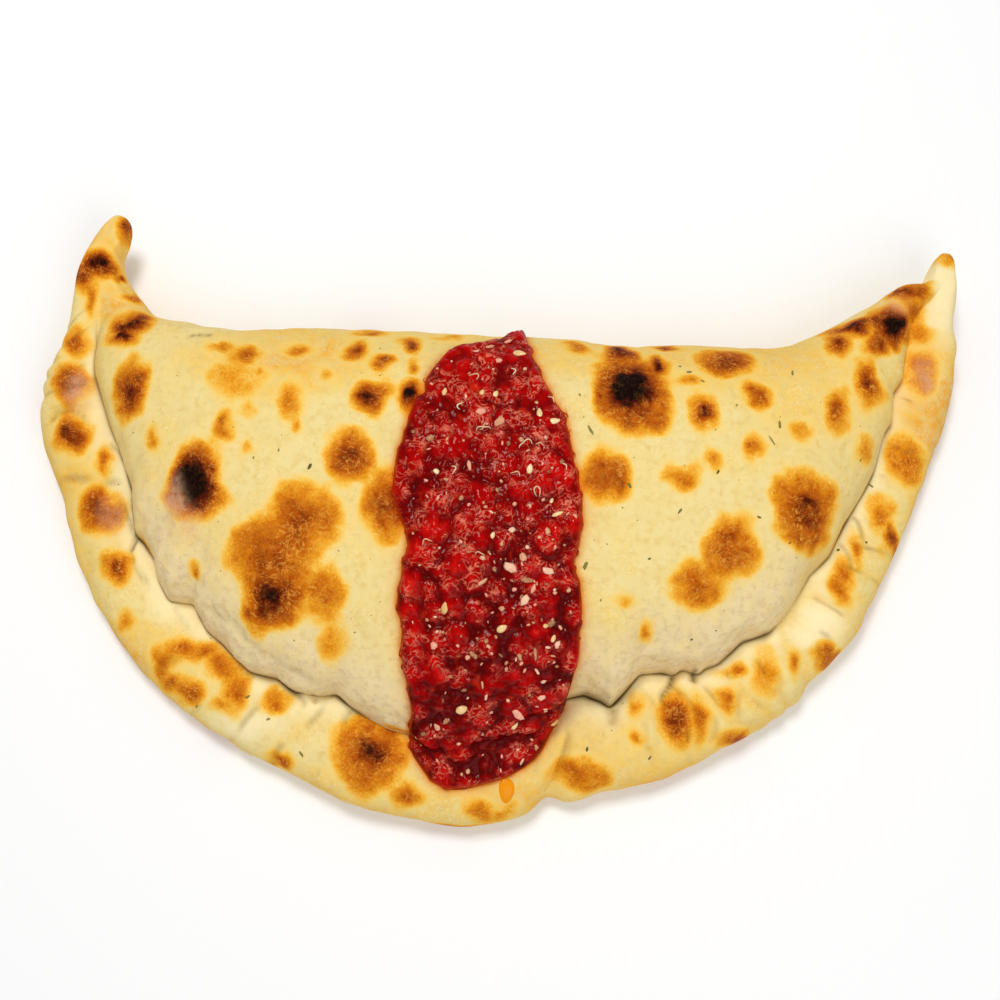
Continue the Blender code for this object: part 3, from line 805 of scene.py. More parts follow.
def dough_material():
    """Wood-oven dough: cream to gold, with feathery scorched spots, flour, ash, painted shade in the crease, folds and
    strand valleys, and painted light beside the crease and on the flour.
    """
    shader = Shader("Baked dough")
    heat, gold = shader.field("scorch"), shader.field("gold")
    fibres = shader.noise(0.0038, detail=1.5, roughness=0.5, distortion=2.0)
    fibres = shader.scaled(shader.math("ABSOLUTE", shader.math("SUBTRACT", fibres, 0.5)), 0.0, 0.05, 1.0, 0.0)
    fine = shader.noise(0.0009, detail=2.0, roughness=0.6)
    grain = shader.noise(0.0024, detail=3.0, roughness=0.6)
    patches = shader.noise(0.0048, detail=3.0, roughness=0.55, distortion=0.4)
    cloud = shader.noise(0.012, detail=3.0)
    broad = shader.noise(0.045, detail=2.0)

    warmth = shader.math("ADD", shader.math("MULTIPLY", gold, 0.75), shader.scaled(broad, 0.35, 0.7, -0.05, 0.25))
    warmth = shader.math("ADD", warmth, shader.scaled(cloud, 0.3, 0.7, -0.2, 0.2))
    plain = shader.ramp(
        warmth,
        ((0.0, srgb(237, 215, 147)), (0.45, srgb(240, 204, 111)), (0.8, srgb(241, 190, 82)), (1.0, srgb(236, 172, 64))),
    )
    plain = shader.mix(shader.scaled(patches, 0.42, 0.62, 0.0, 0.55), plain, srgb(232, 205, 130))
    plain = shader.mix(shader.scaled(grain, 0.50, 0.70, 0.0, 0.5), plain, srgb(220, 186, 108))
    plain = shader.mix(shader.math("MULTIPLY", fibres, shader.scaled(cloud, 0.4, 0.65, 0.0, 0.4)), plain, srgb(252, 238, 190))

    # Flour dust by the seam, greyish cream and lighter than the dough: partly real flour, partly painted light against
    # the slope's shade.
    flour_and_light = shader.math("MULTIPLY", shader.field("flour_and_painted_light"), shader.scaled(patches, 0.3, 0.6, 0.35, 0.95))
    plain = shader.mix(flour_and_light, plain, srgb(238, 216, 170))
    dusty = shader.math("MULTIPLY", shader.field("flour_and_painted_light"), shader.scaled(grain, 0.5, 0.62, 0.0, 0.4))
    plain = shader.mix(dusty, plain, srgb(206, 176, 126))
    # Pale patches, and painted light on the rim beside the crease.
    plain = shader.mix(shader.field("pale_and_painted_light"), plain, srgb(255, 240, 194))

    edge = shader.scaled(heat, 0.04, 0.3)
    ragged = shader.math("MULTIPLY", shader.scaled(fine, 0.3, 0.7, -0.09, 0.09), shader.scaled(heat, 0.45, 0.7, 1.0, 0.35))
    ragged = shader.math("MULTIPLY", ragged, edge)
    patchy = shader.math("MULTIPLY", shader.scaled(patches, 0.3, 0.7, -0.12, 0.12), edge)
    toast = shader.math("ADD", shader.math("ADD", heat, ragged), patchy, clamp=True)
    scorched = shader.ramp(
        toast,
        (
            (0.00, srgb(245, 216, 136)),
            (0.10, srgb(244, 200, 96)),
            (0.20, srgb(240, 174, 54)),
            (0.34, srgb(226, 146, 26)),
            (0.50, srgb(204, 114, 14)),
            (0.65, srgb(176, 84, 8)),
            (0.79, srgb(134, 52, 4)),
            (0.91, srgb(80, 20, 3)),
            (1.00, srgb(20, 4, 2)),
        ),
    )
    colour = shader.mix(shader.scaled(toast, 0.0, 0.12), plain, scorched)
    stringy = shader.math("MULTIPLY", fibres, shader.scaled(heat, 0.15, 0.4, 0.0, 0.75))
    stringy = shader.math("MULTIPLY", stringy, shader.scaled(cloud, 0.35, 0.6, 0.3, 1.0))
    stringy = shader.math("MULTIPLY", stringy, shader.scaled(toast, 0.7, 0.92, 1.0, 0.08))
    colour = shader.mix(stringy, colour, srgb(240, 166, 66))

    ash = shader.math("MULTIPLY", shader.field("ash"), shader.scaled(grain, 0.3, 0.6, 0.3, 0.85))
    colour = shader.mix(ash, colour, srgb(218, 166, 128))
    colour = shader.mix(shader.field("oil"), colour, srgb(232, 150, 30), blend="MULTIPLY")
    # Painted shade in the crease, along the folds and in the valleys between the strands.
    colour = shader.mix(shader.field("painted_shade"), colour, srgb(92, 64, 14))

    roughness = shader.scaled(toast, 0.0, 1.0, 0.75, 0.55)
    skin = shader.bump(grain, 0.0006, 0.35)
    fuzz = shader.bump(shader.math("MULTIPLY", fibres, shader.scaled(heat, 0.1, 0.5)), 0.0002, 0.6, skin)
    return shader.finish(Base_Color=colour, Roughness=roughness, Normal=fuzz, Specular_IOR_Level=0.04)


# ---------------------------------------------------------------------------------------------------------
# The crust.
# ---------------------------------------------------------------------------------------------------------


def make_crust():
    surface = dough_surface(ring_places(), CRUST_STEPS)
    points, normals, past, places = surface
    share, shade = opening_at(places)
    clear_of_crease = smooth_step(0.0, 0.002, np.abs(past))
    clear_of_tips = smooth_step(0.05, 0.5, np.minimum(places, LAST_RIB - places))
    above_table = smooth_step(0.0005, 0.004, points[..., 2])
    hidden = smooth_step(HIDDEN_TILT, -0.1, normals[..., 2])
    speckles = UNDER_HEAT * hidden * smooth_step(0.6, 1.5, ripple(points, 0.020, 9))
    heat = np.maximum(heat_of(points, SPOTS, np.sign(past) * (share > SEALED)), speckles)
    # Flour dust on the dome's slope by the seam, its colour lightened as painted light against the shade on that slope.
    near_seam = smooth_step(-0.030, -0.006, past) * smooth_step(0.001, -0.001, past)
    low_front = smooth_step(4.9, 5.6, places) * smooth_step(10.6, 9.8, places)
    flour_and_painted_light = near_seam * low_front
    swell = 0.0006 * ripple(points, 0.030, 1) + 0.00022 * ripple(points, 0.008, 2)
    wrinkles = 0.00040 * flour_and_painted_light * ripple(points, 0.0045, 3)
    blister = BLISTER_HEIGHT * smooth_step(BLISTER_HEAT, 1.0, heat)
    strands, strand_shade = strands_at(points, places, past)
    low_edge = smooth_step(0.019, 0.008, points[..., 2]) * (past > 0) * (0.7 + 0.3 * ripple(points, 0.02, 8))
    rise = (swell + wrinkles + blister) * clear_of_crease + strands
    folds, fold_shade = grooves_at(points)
    folds *= smooth_step(0.0, 0.3, normals[..., 2])
    points = points + normals * (rise * above_table * clear_of_tips)[..., None]
    points[..., 2] += folds * above_table

    # Painted shade along the bottom of the open crease, as dark as the openings say.
    width = CREASE_SHADE_WIDTH * (0.5 + shade)
    painted_shade = shade * np.exp(-((past / width) ** 2)) * (0.85 + 0.15 * ripple(points, 0.012, 4))
    # Painted light on the rim beside the crease, against the shade in the crease.
    crease_side_light = smooth_step(0.012, 0.002, past) * (past > 0) * smooth_step(0.04, 0.2, share)
    fields = {
        "scorch": heat,
        # Warm areas and the golden lower edge, with painted shade, more golden, in the strand valleys and paler strand
        # tops.
        "gold": heat_of(points, GOLD) - STRAND_SHADE_GOLD * strands + EDGE_GOLD * low_edge,
        "ash": heat_of(points, ASH),
        "flour_and_painted_light": flour_and_painted_light,
        # Pale patches, and painted light on the rim beside the crease.
        "pale_and_painted_light": np.maximum(CREASE_SIDE_LIGHT * crease_side_light, heat_of(points, WHITE)),
        "painted_shade": PAINTED_SHADE_STRENGTH * np.maximum(painted_shade, (fold_shade + VALLEY_SHADE * strand_shade) * (normals[..., 2] > 0)),
        "oil": OIL_STRENGTH * np.exp(-np.clip(outside_sauce(points), 0, None) / OIL_REACH) * (1 - hidden),
    }
    faces = ring_faces(*points.shape[:2])
    crust = new_piece("crust_baked", points, faces, dough_material(), fields)
    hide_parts("crust")
    return crust

# ---------------------------------------------------------------------------------------------------------
# The sauce.
# ---------------------------------------------------------------------------------------------------------

# The band's outline in plan, from over the fold to the rim.
SauceRow = namedtuple("SauceRow", "y left right")
SAUCE_ROWS = (
    SauceRow(0.0620, 0.0045, 0.0088),
    SauceRow(0.0577, 0.0000, 0.0096),
    SauceRow(0.0543, -0.0055, 0.0105),
    SauceRow(0.0522, -0.0148, 0.0110),
    SauceRow(0.0480, -0.0197, 0.0121),
    SauceRow(0.0400, -0.0250, 0.0150),
    SauceRow(0.0350, -0.0252, 0.0172),
    SauceRow(0.0310, -0.0292, 0.0192),
    SauceRow(0.0245, -0.0310, 0.0224),
    SauceRow(0.0180, -0.0322, 0.0234),
    SauceRow(0.0110, -0.0346, 0.0248),
    SauceRow(0.0015, -0.0355, 0.0266),
    SauceRow(-0.0050, -0.0344, 0.0271),
    SauceRow(-0.0110, -0.0320, 0.0270),
    SauceRow(-0.0170, -0.0307, 0.0260),
    SauceRow(-0.0230, -0.0320, 0.0246),
    SauceRow(-0.0300, -0.0329, 0.0261),
    SauceRow(-0.0375, -0.0339, 0.0271),
    SauceRow(-0.0450, -0.0323, 0.0268),
    SauceRow(-0.0520, -0.0327, 0.0260),
    SauceRow(-0.0605, -0.0310, 0.0240),
    SauceRow(-0.0695, -0.0296, 0.0212),
    SauceRow(-0.0785, -0.0315, 0.0166),
    SauceRow(-0.0855, -0.0290, 0.0122),
    SauceRow(-0.0920, -0.0243, 0.0020),
    SauceRow(-0.0960, -0.0185, -0.0140),
)
SAUCE_FROM_RIB, SAUCE_TO_RIB = 6, 10
SAUCE_STEPS = Steps(4, 150, 190, 16, 50, 4)
SAUCE_COLUMNS = 170
SAUCE_THICKNESS = 0.0036
SAUCE_BEAD = 0.0045  # how far in from its edge the sauce is at its full thickness
SAUCE_SINK = 0.0008  # its edge lies this far under the dough's skin
SAUCE_BASE_COLUMNS = 12
BED_SAMPLES = 500
BRIDGING = 0.021  # the reach of the averaging that lets it bridge the crease
LEAST_LIFT = 0.0006  # how softly the bridging sets in
CHUNK_SIZE = 0.0070
CHUNK_HEIGHT = 0.0016
LUMP_SIZE = 0.0030
LUMP_HEIGHT = 0.0006
STRAND_SIZE = 0.0030
STRAND_HEIGHT = 0.00022
RELIEF_MOST = 0.0020  # about the height of the highest lumps
BRIGHTER_BACK = 0.42  # how much brighter the sauce is over the back of the dome than at the rim


def sauce_outline():
    """The band's outline as (y, left, right), upwards in y, with a little unevenness."""
    y, left, right = through(SAUCE_ROWS, np.linspace(0, len(SAUCE_ROWS) - 1, 240))[::-1].T
    edge = np.stack([y, y, y], axis=1)
    return y, left + 0.0004 * ripple(edge, 0.004, 31), right + 0.0004 * ripple(edge, 0.004, 32)


def outside_sauce(points):
    """In plan, how far points are outside the sauce's outline. It is below zero inside."""
    y, left, right = sauce_outline()
    loop = np.stack([np.concatenate([left, right[::-1], left[:1]]), np.concatenate([y, y[::-1], y[:1]])], axis=1)
    distance = np.abs(line_distance(points, loop[::4])[0])
    inside = (np.interp(points[..., 1], y, left, 1, 1) < points[..., 0]) & (
        points[..., 0] < np.interp(points[..., 1], y, right, -1, -1)
    )
    return np.where(inside, -distance, distance)


def sauce_bed():
    """The dough under the sauce as a grid of rows down the band and columns across it."""
    row_y, left, right = sauce_outline()
    places = np.linspace(SAUCE_FROM_RIB, SAUCE_TO_RIB, BED_SAMPLES)
    surface = dough_surface(places, SAUCE_STEPS, crowding=1.0).points
    rows = []
    for point in range(SAUCE_STEPS.foot + 1, surface.shape[1] - SAUCE_STEPS.underside - SAUCE_STEPS.foot):
        x, y, z = surface[:, point].T
        reached = (row_y[0] < y) & (y < row_y[-1])
        inside = x[reached & (np.interp(y, row_y, left) < x) & (x < np.interp(y, row_y, right))]
        if len(inside) > 1:
            across = np.linspace(inside[0], inside[-1], SAUCE_COLUMNS)
            rows.append(np.stack([across, np.interp(across, x, y), np.interp(across, x, z)], axis=1))
    return np.array(rows)


def averaged(grid, reached):
    """The grid averaged over its rows, which are this far along the band, within about the bridging reach."""
    weights = np.exp(-(((reached[:, None] - reached) / BRIDGING) ** 2)) * np.gradient(reached)
    weights /= weights.sum(axis=1, keepdims=True)
    return np.einsum("rs,scx->rcx", weights, grid)


def rounded(place, size):
    """Packed round lumps of about this size, from 0 between them to 1 on top."""
    nearest = noise.voronoi(place / size)[0][0]
    return max(0.0, 1 - (1.3 * nearest) ** 2)


def pulp(points):
    """The height of the chopped tomato: soft chunks, most of them low down, with lumps and strands on them."""
    heights = []
    for point in points.reshape(-1, 3):
        place = Vector(point)
        chunky = 0.45 + 0.55 * smooth_step(0.02, -0.04, point[1])
        strands = noise.ridged_multi_fractal(place / STRAND_SIZE, 0.9, 2.1, 3, 1.0, 2.0)
        heights.append(
            CHUNK_HEIGHT * chunky * rounded(place, CHUNK_SIZE)
            + LUMP_HEIGHT * rounded(place, LUMP_SIZE)
            + STRAND_HEIGHT * (strands - 1.2)
        )
    return np.array(heights).reshape(points.shape[:-1])


def sauce_material():
    """Wet crushed tomato: deep red painted shade in its hollows, painted light on its lumps, painted pink highlight
    curls, oily orange at its thin edges.
    """
    shader = Shader("Tomato sauce")
    fine = shader.noise(0.0011, detail=3.0, roughness=0.65, distortion=0.8)
    blotch = shader.noise(0.0055, detail=2.0)
    broad = shader.noise(0.022, detail=1.0)
    # Painted shade and light: the sauce is darker where the pulp lies low and brighter where it stands up.
    level = shader.math("ADD", shader.field("relief"), shader.scaled(fine, 0.3, 0.7, -0.14, 0.14))
    level = shader.math("ADD", level, shader.scaled(broad, 0.35, 0.65, -0.12, 0.12), clamp=True)
    colour = shader.ramp(
        level,
        (
            (0.0, srgb(86, 0, 0)),
            (0.3, srgb(118, 0, 0)),
            (0.6, srgb(160, 0, 0)),
            (1.0, srgb(206, 12, 5)),
        ),
    )
    colour = shader.mix(shader.scaled(blotch, 0.60, 0.74, 0.0, 0.5), colour, srgb(210, 46, 10))
    # Painted highlights: pink curls in clusters on the raised pulp.
    highlight_curls = shader.noise(0.0040, detail=1.5, roughness=0.5, distortion=2.0)
    highlight_curls = shader.scaled(shader.math("ABSOLUTE", shader.math("SUBTRACT", highlight_curls, 0.5)), 0.0, 0.065, 1.0, 0.0)
    highlight_clusters = shader.scaled(shader.noise(0.0085, detail=2.0), 0.44, 0.56)
    highlight_clusters = shader.math("MULTIPLY", highlight_clusters, shader.scaled(level, 0.24, 0.52, 0.0, 0.8))
    highlight_curls = shader.math("MULTIPLY", highlight_curls, highlight_clusters)
    # Painted highlights: the pink curls.
    colour = shader.mix(highlight_curls, colour, srgb(240, 132, 102))
    colour = shader.mix(shader.field("thin"), colour, srgb(190, 62, 12))
    ripples = shader.bump(fine, 0.0003, 0.3)
    ripples = shader.bump(highlight_curls, 0.0003, 0.8, ripples)
    return shader.finish(
        Base_Color=colour,
        Roughness=0.5,
        Normal=ripples,
        Specular_IOR_Level=0.0,
        Coat_Weight=0.26,
        Coat_Roughness=0.05,
        Coat_IOR=1.33,
    )


def make_sauce():
    bed = sauce_bed()
    outward = np.cross(np.gradient(bed, axis=0), np.gradient(bed, axis=1))
    outward /= np.linalg.norm(outward, axis=2, keepdims=True)
    spans = np.linalg.norm(np.diff(bed, axis=0), axis=2).mean(axis=1)
    reached = np.concatenate([[0], np.cumsum(spans)])
    inward = -outside_sauce(bed)
    fullness = np.sqrt(1 - (1 - np.clip(inward / SAUCE_BEAD, 0, 1)) ** 2)
    middle = smooth_step(0.0, 2 * SAUCE_BEAD, inward)[..., None]
    smooth = averaged(bed, reached)
    smooth_outward = averaged(outward, reached)
    smooth_outward /= np.linalg.norm(smooth_outward, axis=2, keepdims=True)
    hollow = np.sum((smooth - bed) * smooth_outward, axis=2)
    lift = (hollow + np.hypot(hollow, LEAST_LIFT)) / 2
    base = bed + middle * lift[..., None] * smooth_outward
    thickness = SAUCE_THICKNESS * fullness * (1 + 0.16 * ripple(bed, 0.016, 33)) - SAUCE_SINK
    relief = pulp(base)
    rise = thickness + relief * smooth_step(0.0, 0.0022, inward)
    top = base + smooth_outward * rise[..., None]

    columns = np.linspace(0, SAUCE_COLUMNS - 1, SAUCE_BASE_COLUMNS).round().astype(int)
    underside = (bed - 1.5 * SAUCE_SINK * outward)[:, columns]
    rings = np.concatenate([underside, top[:, ::-1]], axis=1)
    spare = np.zeros(underside.shape[:2])
    # Painted shade in the hollows and painted light on the lumps, brighter over the back of the dome.
    level = relief / RELIEF_MOST + BRIGHTER_BACK * (smooth_step(-0.07, 0.03, bed[..., 1]) - 0.5)
    fields = {
        "relief": np.concatenate([spare, level[:, ::-1]], axis=1),
        "thin": np.concatenate([spare, smooth_step(0.0016, 0.0, inward)[:, ::-1]], axis=1),
    }
    sauce = new_piece("sauce_pulp", rings, ring_faces(*rings.shape[:2]), sauce_material(), fields)
    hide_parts("tomato_sauce")
    return sauce


# ---------------------------------------------------------------------------------------------------------
# Seeds, dried herbs, shreds and oil, lying on the sauce and the crust. Turns are in degrees from +X.
# ---------------------------------------------------------------------------------------------------------

Bit = namedtuple("Bit", "x y length width turn")

# Tomato seeds in the sauce.
SEEDS = (
    Bit(0.0065, 0.0492, 0.0050, 0.0027, -15), Bit(-0.0183, 0.0334, 0.0032, 0.0020, 80),
    Bit(-0.0059, 0.0334, 0.0022, 0.0018, 60), Bit(-0.0014, 0.0330, 0.0026, 0.0020, 60),
    Bit(0.0130, 0.0261, 0.0042, 0.0022, 95), Bit(0.0177, 0.0232, 0.0043, 0.0024, 8),
    Bit(-0.0206, 0.0062, 0.0032, 0.0022, -40), Bit(0.0097, 0.0068, 0.0034, 0.0022, 80),
    Bit(0.0187, -0.0080, 0.0042, 0.0015, 20), Bit(0.0168, -0.0034, 0.0024, 0.0013, 70),
    Bit(-0.0023, -0.0149, 0.0028, 0.0018, 60), Bit(-0.0179, -0.0383, 0.0043, 0.0026, 75),
    Bit(0.0006, -0.0448, 0.0038, 0.0026, 30), Bit(0.0148, -0.0438, 0.0020, 0.0016, 0),
    Bit(0.0173, -0.0476, 0.0028, 0.0018, 70), Bit(-0.0125, -0.0699, 0.0042, 0.0032, 20),
    Bit(0.0049, -0.0748, 0.0032, 0.0022, 60), Bit(0.0184, -0.0734, 0.0034, 0.0024, 20),
)

# Dried oregano and crumbs of skin on the sauce.
FLAKES = (
    Bit(-0.0004, 0.0458, 0.0030, 0.0022, 10), Bit(-0.0063, 0.0264, 0.0046, 0.0026, 10),
    Bit(-0.0001, 0.0232, 0.0052, 0.0036, 30), Bit(-0.0227, 0.0170, 0.0034, 0.0024, 30),
    Bit(-0.0100, 0.0079, 0.0046, 0.0018, 100), Bit(0.0038, -0.0133, 0.0030, 0.0020, 30),
    Bit(0.0154, -0.0139, 0.0030, 0.0020, 100), Bit(0.0075, -0.0221, 0.0038, 0.0026, 110),
    Bit(0.0035, -0.0255, 0.0055, 0.0032, -35), Bit(0.0153, -0.0265, 0.0050, 0.0026, -15),
    Bit(0.0083, -0.0293, 0.0052, 0.0020, -10), Bit(-0.0056, -0.0300, 0.0044, 0.0014, 35),
    Bit(0.0107, -0.0322, 0.0040, 0.0016, 65), Bit(0.0080, -0.0357, 0.0045, 0.0034, 60),
    Bit(0.0166, -0.0429, 0.0034, 0.0028, 30), Bit(0.0187, -0.0494, 0.0030, 0.0020, 60),
    Bit(0.0153, -0.0504, 0.0032, 0.0012, -10), Bit(0.0064, -0.0534, 0.0046, 0.0016, 100),
    Bit(0.0114, -0.0525, 0.0050, 0.0012, 95), Bit(-0.0085, -0.0530, 0.0042, 0.0018, 140),
    Bit(-0.0211, -0.0501, 0.0034, 0.0026, 90), Bit(0.0119, -0.0576, 0.0040, 0.0012, 120),
    Bit(0.0141, -0.0610, 0.0024, 0.0016, 20), Bit(-0.0057, -0.0622, 0.0034, 0.0008, 95),
    Bit(-0.0046, -0.0659, 0.0034, 0.0012, 80), Bit(-0.0206, -0.0754, 0.0036, 0.0022, 110),
    Bit(-0.0176, -0.0733, 0.0034, 0.0020, 45), Bit(0.0058, -0.0709, 0.0065, 0.0032, 120),
    Bit(0.0137, -0.0659, 0.0032, 0.0022, 20), Bit(0.0171, -0.0776, 0.0026, 0.0014, 120),
    Bit(0.0074, -0.0863, 0.0034, 0.0012, 70), Bit(-0.0036, 0.0518, 0.0044, 0.0014, 25),
    Bit(0.0028, 0.0548, 0.0034, 0.0018, 30), Bit(-0.0080, 0.0496, 0.0030, 0.0010, 20),
)
CRUMBS = 200
CRUMB_MARGIN = 0.002  # how far in from the sauce's edge the crumbs lie

# Green herbs on the crust.
HERBS = (
    Bit(-0.0628, 0.0091, 0.0026, 0.0012, 60), Bit(0.0299, 0.0208, 0.0042, 0.0010, -60),
    Bit(0.0425, 0.0023, 0.0022, 0.0012, -60), Bit(0.0590, -0.0060, 0.0024, 0.0009, 50),
    Bit(0.0856, -0.0072, 0.0018, 0.0008, -20), Bit(0.0279, -0.0240, 0.0034, 0.0014, 70),
    Bit(0.0998, 0.0438, 0.0026, 0.0009, 80), Bit(0.0938, 0.0242, 0.0032, 0.0010, 90),
    Bit(0.0908, 0.0190, 0.0045, 0.0007, -60), Bit(0.0720, 0.0074, 0.0020, 0.0008, 60),
    Bit(0.0641, 0.0433, 0.0020, 0.0008, 10), Bit(0.0684, 0.0398, 0.0016, 0.0007, -30),
    Bit(0.0794, 0.0309, 0.0012, 0.0007, 40), Bit(0.0487, -0.0217, 0.0012, 0.0007, 20),
    Bit(0.0266, 0.0335, 0.0014, 0.0007, 110), Bit(0.0613, 0.0457, 0.0012, 0.0006, 0),
    Bit(0.0965, -0.0150, 0.0016, 0.0006, 30), Bit(-0.0817, 0.0123, 0.0013, 0.0007, 70),
    Bit(-0.0733, 0.0148, 0.0014, 0.0006, 80), Bit(-0.0475, -0.0451, 0.0012, 0.0006, 20),
    Bit(-0.0674, -0.0838, 0.0026, 0.0009, -60), Bit(-0.0789, -0.0721, 0.0020, 0.0010, 20),
    Bit(-0.0863, -0.0646, 0.0020, 0.0010, 30), Bit(-0.1043, -0.0675, 0.0014, 0.0008, 50),
    Bit(0.1180, -0.0136, 0.0014, 0.0010, 30), Bit(0.1280, -0.0109, 0.0011, 0.0009, 0),
    Bit(0.0328, -0.0351, 0.0012, 0.0006, 90), Bit(0.0636, -0.0467, 0.0014, 0.0007, 40),
    Bit(0.1233, 0.0149, 0.0013, 0.0007, 60), Bit(0.0295, -0.0822, 0.0018, 0.0010, 80),
    Bit(0.0510, -0.0850, 0.0018, 0.0009, 60), Bit(0.1310, 0.0095, 0.0026, 0.0010, -35),
)
SPECKS = 80  # tiny crumbs of herb over the dome

# Pale curly shreds on the sauce: the turn and the bend, in degrees, are how each sets off and curls.
Shred = namedtuple("Shred", "x y length turn bend")
SHREDS = (
    Shred(-0.0081, 0.0376, 0.0060, 40, 200), Shred(-0.0077, 0.0195, 0.0065, 70, -120),
    Shred(-0.0070, 0.0205, 0.0040, 10, 90), Shred(0.0107, 0.0146, 0.0072, 110, 160),
    Shred(0.0112, 0.0150, 0.0040, 30, -80), Shred(0.0122, -0.0028, 0.0085, 20, 300),
    Shred(0.0218, 0.0060, 0.0044, 90, 70), Shred(-0.0214, -0.0174, 0.0052, 120, 140),
    Shred(-0.0130, 0.0270, 0.0044, 150, -160), Shred(0.0040, 0.0400, 0.0042, 20, 150),
    Shred(0.0180, 0.0300, 0.0040, 70, 120), Shred(-0.0160, 0.0050, 0.0046, 0, 170),
    Shred(0.0030, 0.0050, 0.0050, 60, -140), Shred(-0.0050, -0.0220, 0.0042, 100, 130),
)
SHRED_RADIUS = 0.00024
SHRED_WOBBLE = 26  # in degrees
SHRED_STEPS = 12
TUBE_SIDES = 6

# A drop of orange oil that has run out below the sauce.
OIL_DROP = Bit(0.0022, -0.0958, 0.0090, 0.0056, 90)
OIL_HEIGHT = 0.0010
OIL_SINK = 0.0003
GROUND_FROM = 0.2  # height that the ground is looked for from
TILT_KEPT = 0.6  # the share of the ground's tilt that a bit takes on


def ground_of(piece):
    """A tree that finds the top of this piece."""
    return BVHTree.FromObject(piece, bpy.context.evaluated_depsgraph_get())


def ground_height(ground, x, y):
    """The height of the ground at a place in plan."""
    return ground.ray_cast(Vector((x, y, GROUND_FROM)), Vector((0, 0, -1)))[0].z


def laid(shape, ground, bit, sink=0.0):
    """A shape's points, its length along u, set on the ground at a bit's place and turn."""
    place, normal = ground.ray_cast(Vector((bit.x, bit.y, GROUND_FROM)), Vector((0, 0, -1)))[:2]
    up = Vector((0, 0, 1)).lerp(normal, TILT_KEPT).normalized()
    turn = math.radians(bit.turn)
    along = Vector((math.cos(turn), math.sin(turn), 0))
    along = (along - along.dot(up) * up).normalized()
    axes = np.array([along, up.cross(along), up])
    return np.array(place - sink * up) + shape @ axes


def seed_shape(bit, random):
    """A plump teardrop, a little thinner towards its point."""
    rings, corners = 9, 10
    share = np.linspace(0.02, 0.98, rings)
    girth = np.sin(math.pi * share) ** 0.6 * (1.15 - 0.45 * share)
    angle = np.linspace(0, 2 * math.pi, corners, endpoint=False)
    u = np.repeat((share - 0.5) * bit.length, corners)
    v = np.outer(girth, np.cos(angle)).ravel() * bit.width / 2
    w = np.outer(girth, np.sin(angle)).ravel() * bit.width * random.uniform(0.22, 0.3)
    return np.stack([u, v, w], axis=1), ring_faces(rings, corners)


def flake_shape(bit, random):
    """A thin angular flake, curled along its length and crumpled at its corners."""
    corners = random.integers(5, 8)
    angle = np.linspace(0, 2 * math.pi, corners, endpoint=False) + random.uniform(-0.25, 0.25, corners)
    reach = random.uniform(0.75, 1.1, corners)
    rim = np.stack([np.cos(angle) * reach * bit.length / 2, np.sin(angle) * reach * bit.width / 2], axis=1)
    thickness = 0.12 * bit.width + 0.00008
    curl = random.uniform(-0.3, 0.6) / bit.length
    layers = []
    for height, scale in ((-thickness, 0.7), (0.0, 1.0), (thickness, 0.75)):
        uv = rim * scale
        w = height + curl * uv[:, 0] ** 2 + random.uniform(-0.25, 0.25, corners) * thickness
        layers.append(np.column_stack([uv, w]))
    return np.concatenate(layers), ring_faces(3, corners)


def tube(points, radii):
    """A round tube along a path, with the faces that close it."""
    along = np.gradient(points, axis=0)
    along /= np.linalg.norm(along, axis=1, keepdims=True)
    side = np.cross(along, (0, 0, 1))
    side /= np.linalg.norm(side, axis=1, keepdims=True)
    over = np.cross(side, along)
    angle = np.linspace(0, 2 * math.pi, TUBE_SIDES, endpoint=False)
    rings = points[:, None] + np.asarray(radii)[:, None, None] * (
        np.cos(angle)[None, :, None] * side[:, None] + np.sin(angle)[None, :, None] * over[:, None]
    )
    return rings.reshape(-1, 3), ring_faces(len(points), TUBE_SIDES)


def shred_body(shred, ground):
    """A curly shred that follows the ground, thin at its ends."""
    share = np.linspace(0, 1, SHRED_STEPS)
    wobble = SHRED_WOBBLE * np.sin(9 * share + shred.turn)
    heading = np.radians(shred.turn + shred.bend * share + wobble)
    step = shred.length / SHRED_STEPS
    x = shred.x + np.cumsum(np.cos(heading)) * step
    y = shred.y + np.cumsum(np.sin(heading)) * step
    z = [ground_height(ground, *place) for place in zip(x, y)]
    z = np.convolve(np.pad(z, 2, mode="edge"), np.full(5, 0.2), mode="valid") + SHRED_RADIUS
    radii = SHRED_RADIUS * (0.45 + 0.55 * np.sin(math.pi * share))
    return tube(np.column_stack([x, y, z]), radii)


def scattered_piece(name, bodies, finish, random):
    """One piece of many small closed bodies, each with a tone of its own."""
    points, faces, tones = [], [], []
    start = 0
    for body_points, body_faces in bodies:
        points.append(body_points)
        faces += [[start + corner for corner in face] for face in body_faces]
        tones.append(np.full(len(body_points), random.uniform()))
        start += len(body_points)
    return new_piece(name, np.concatenate(points), faces, finish, {"tone": np.concatenate(tones)})


def laid_bodies(bits, shape_of, ground, random, sink):
    for bit in bits:
        shape, faces = shape_of(bit, random)
        yield laid(shape, ground, bit, sink * bit.width), faces


def crumbs_on_sauce(random):
    """Small crumbs strewn over the sauce, most of them at its lower right."""
    crumbs = []
    while len(crumbs) < CRUMBS:
        x, y = random.uniform(-0.036, 0.027), random.uniform(-0.092, 0.055)
        likely = 0.4 + 0.6 * smooth_step(-0.02, 0.015, x) * smooth_step(0.03, -0.03, y)
        kept = random.uniform() < likely
        if kept and outside_sauce(np.array([[x, y, 0.0]]))[0] < -CRUMB_MARGIN:
            length = random.uniform(0.0008, 0.0022)
            crumbs.append(Bit(x, y, length, length * random.uniform(0.35, 0.9), random.uniform(0, 180)))
    return tuple(crumbs)


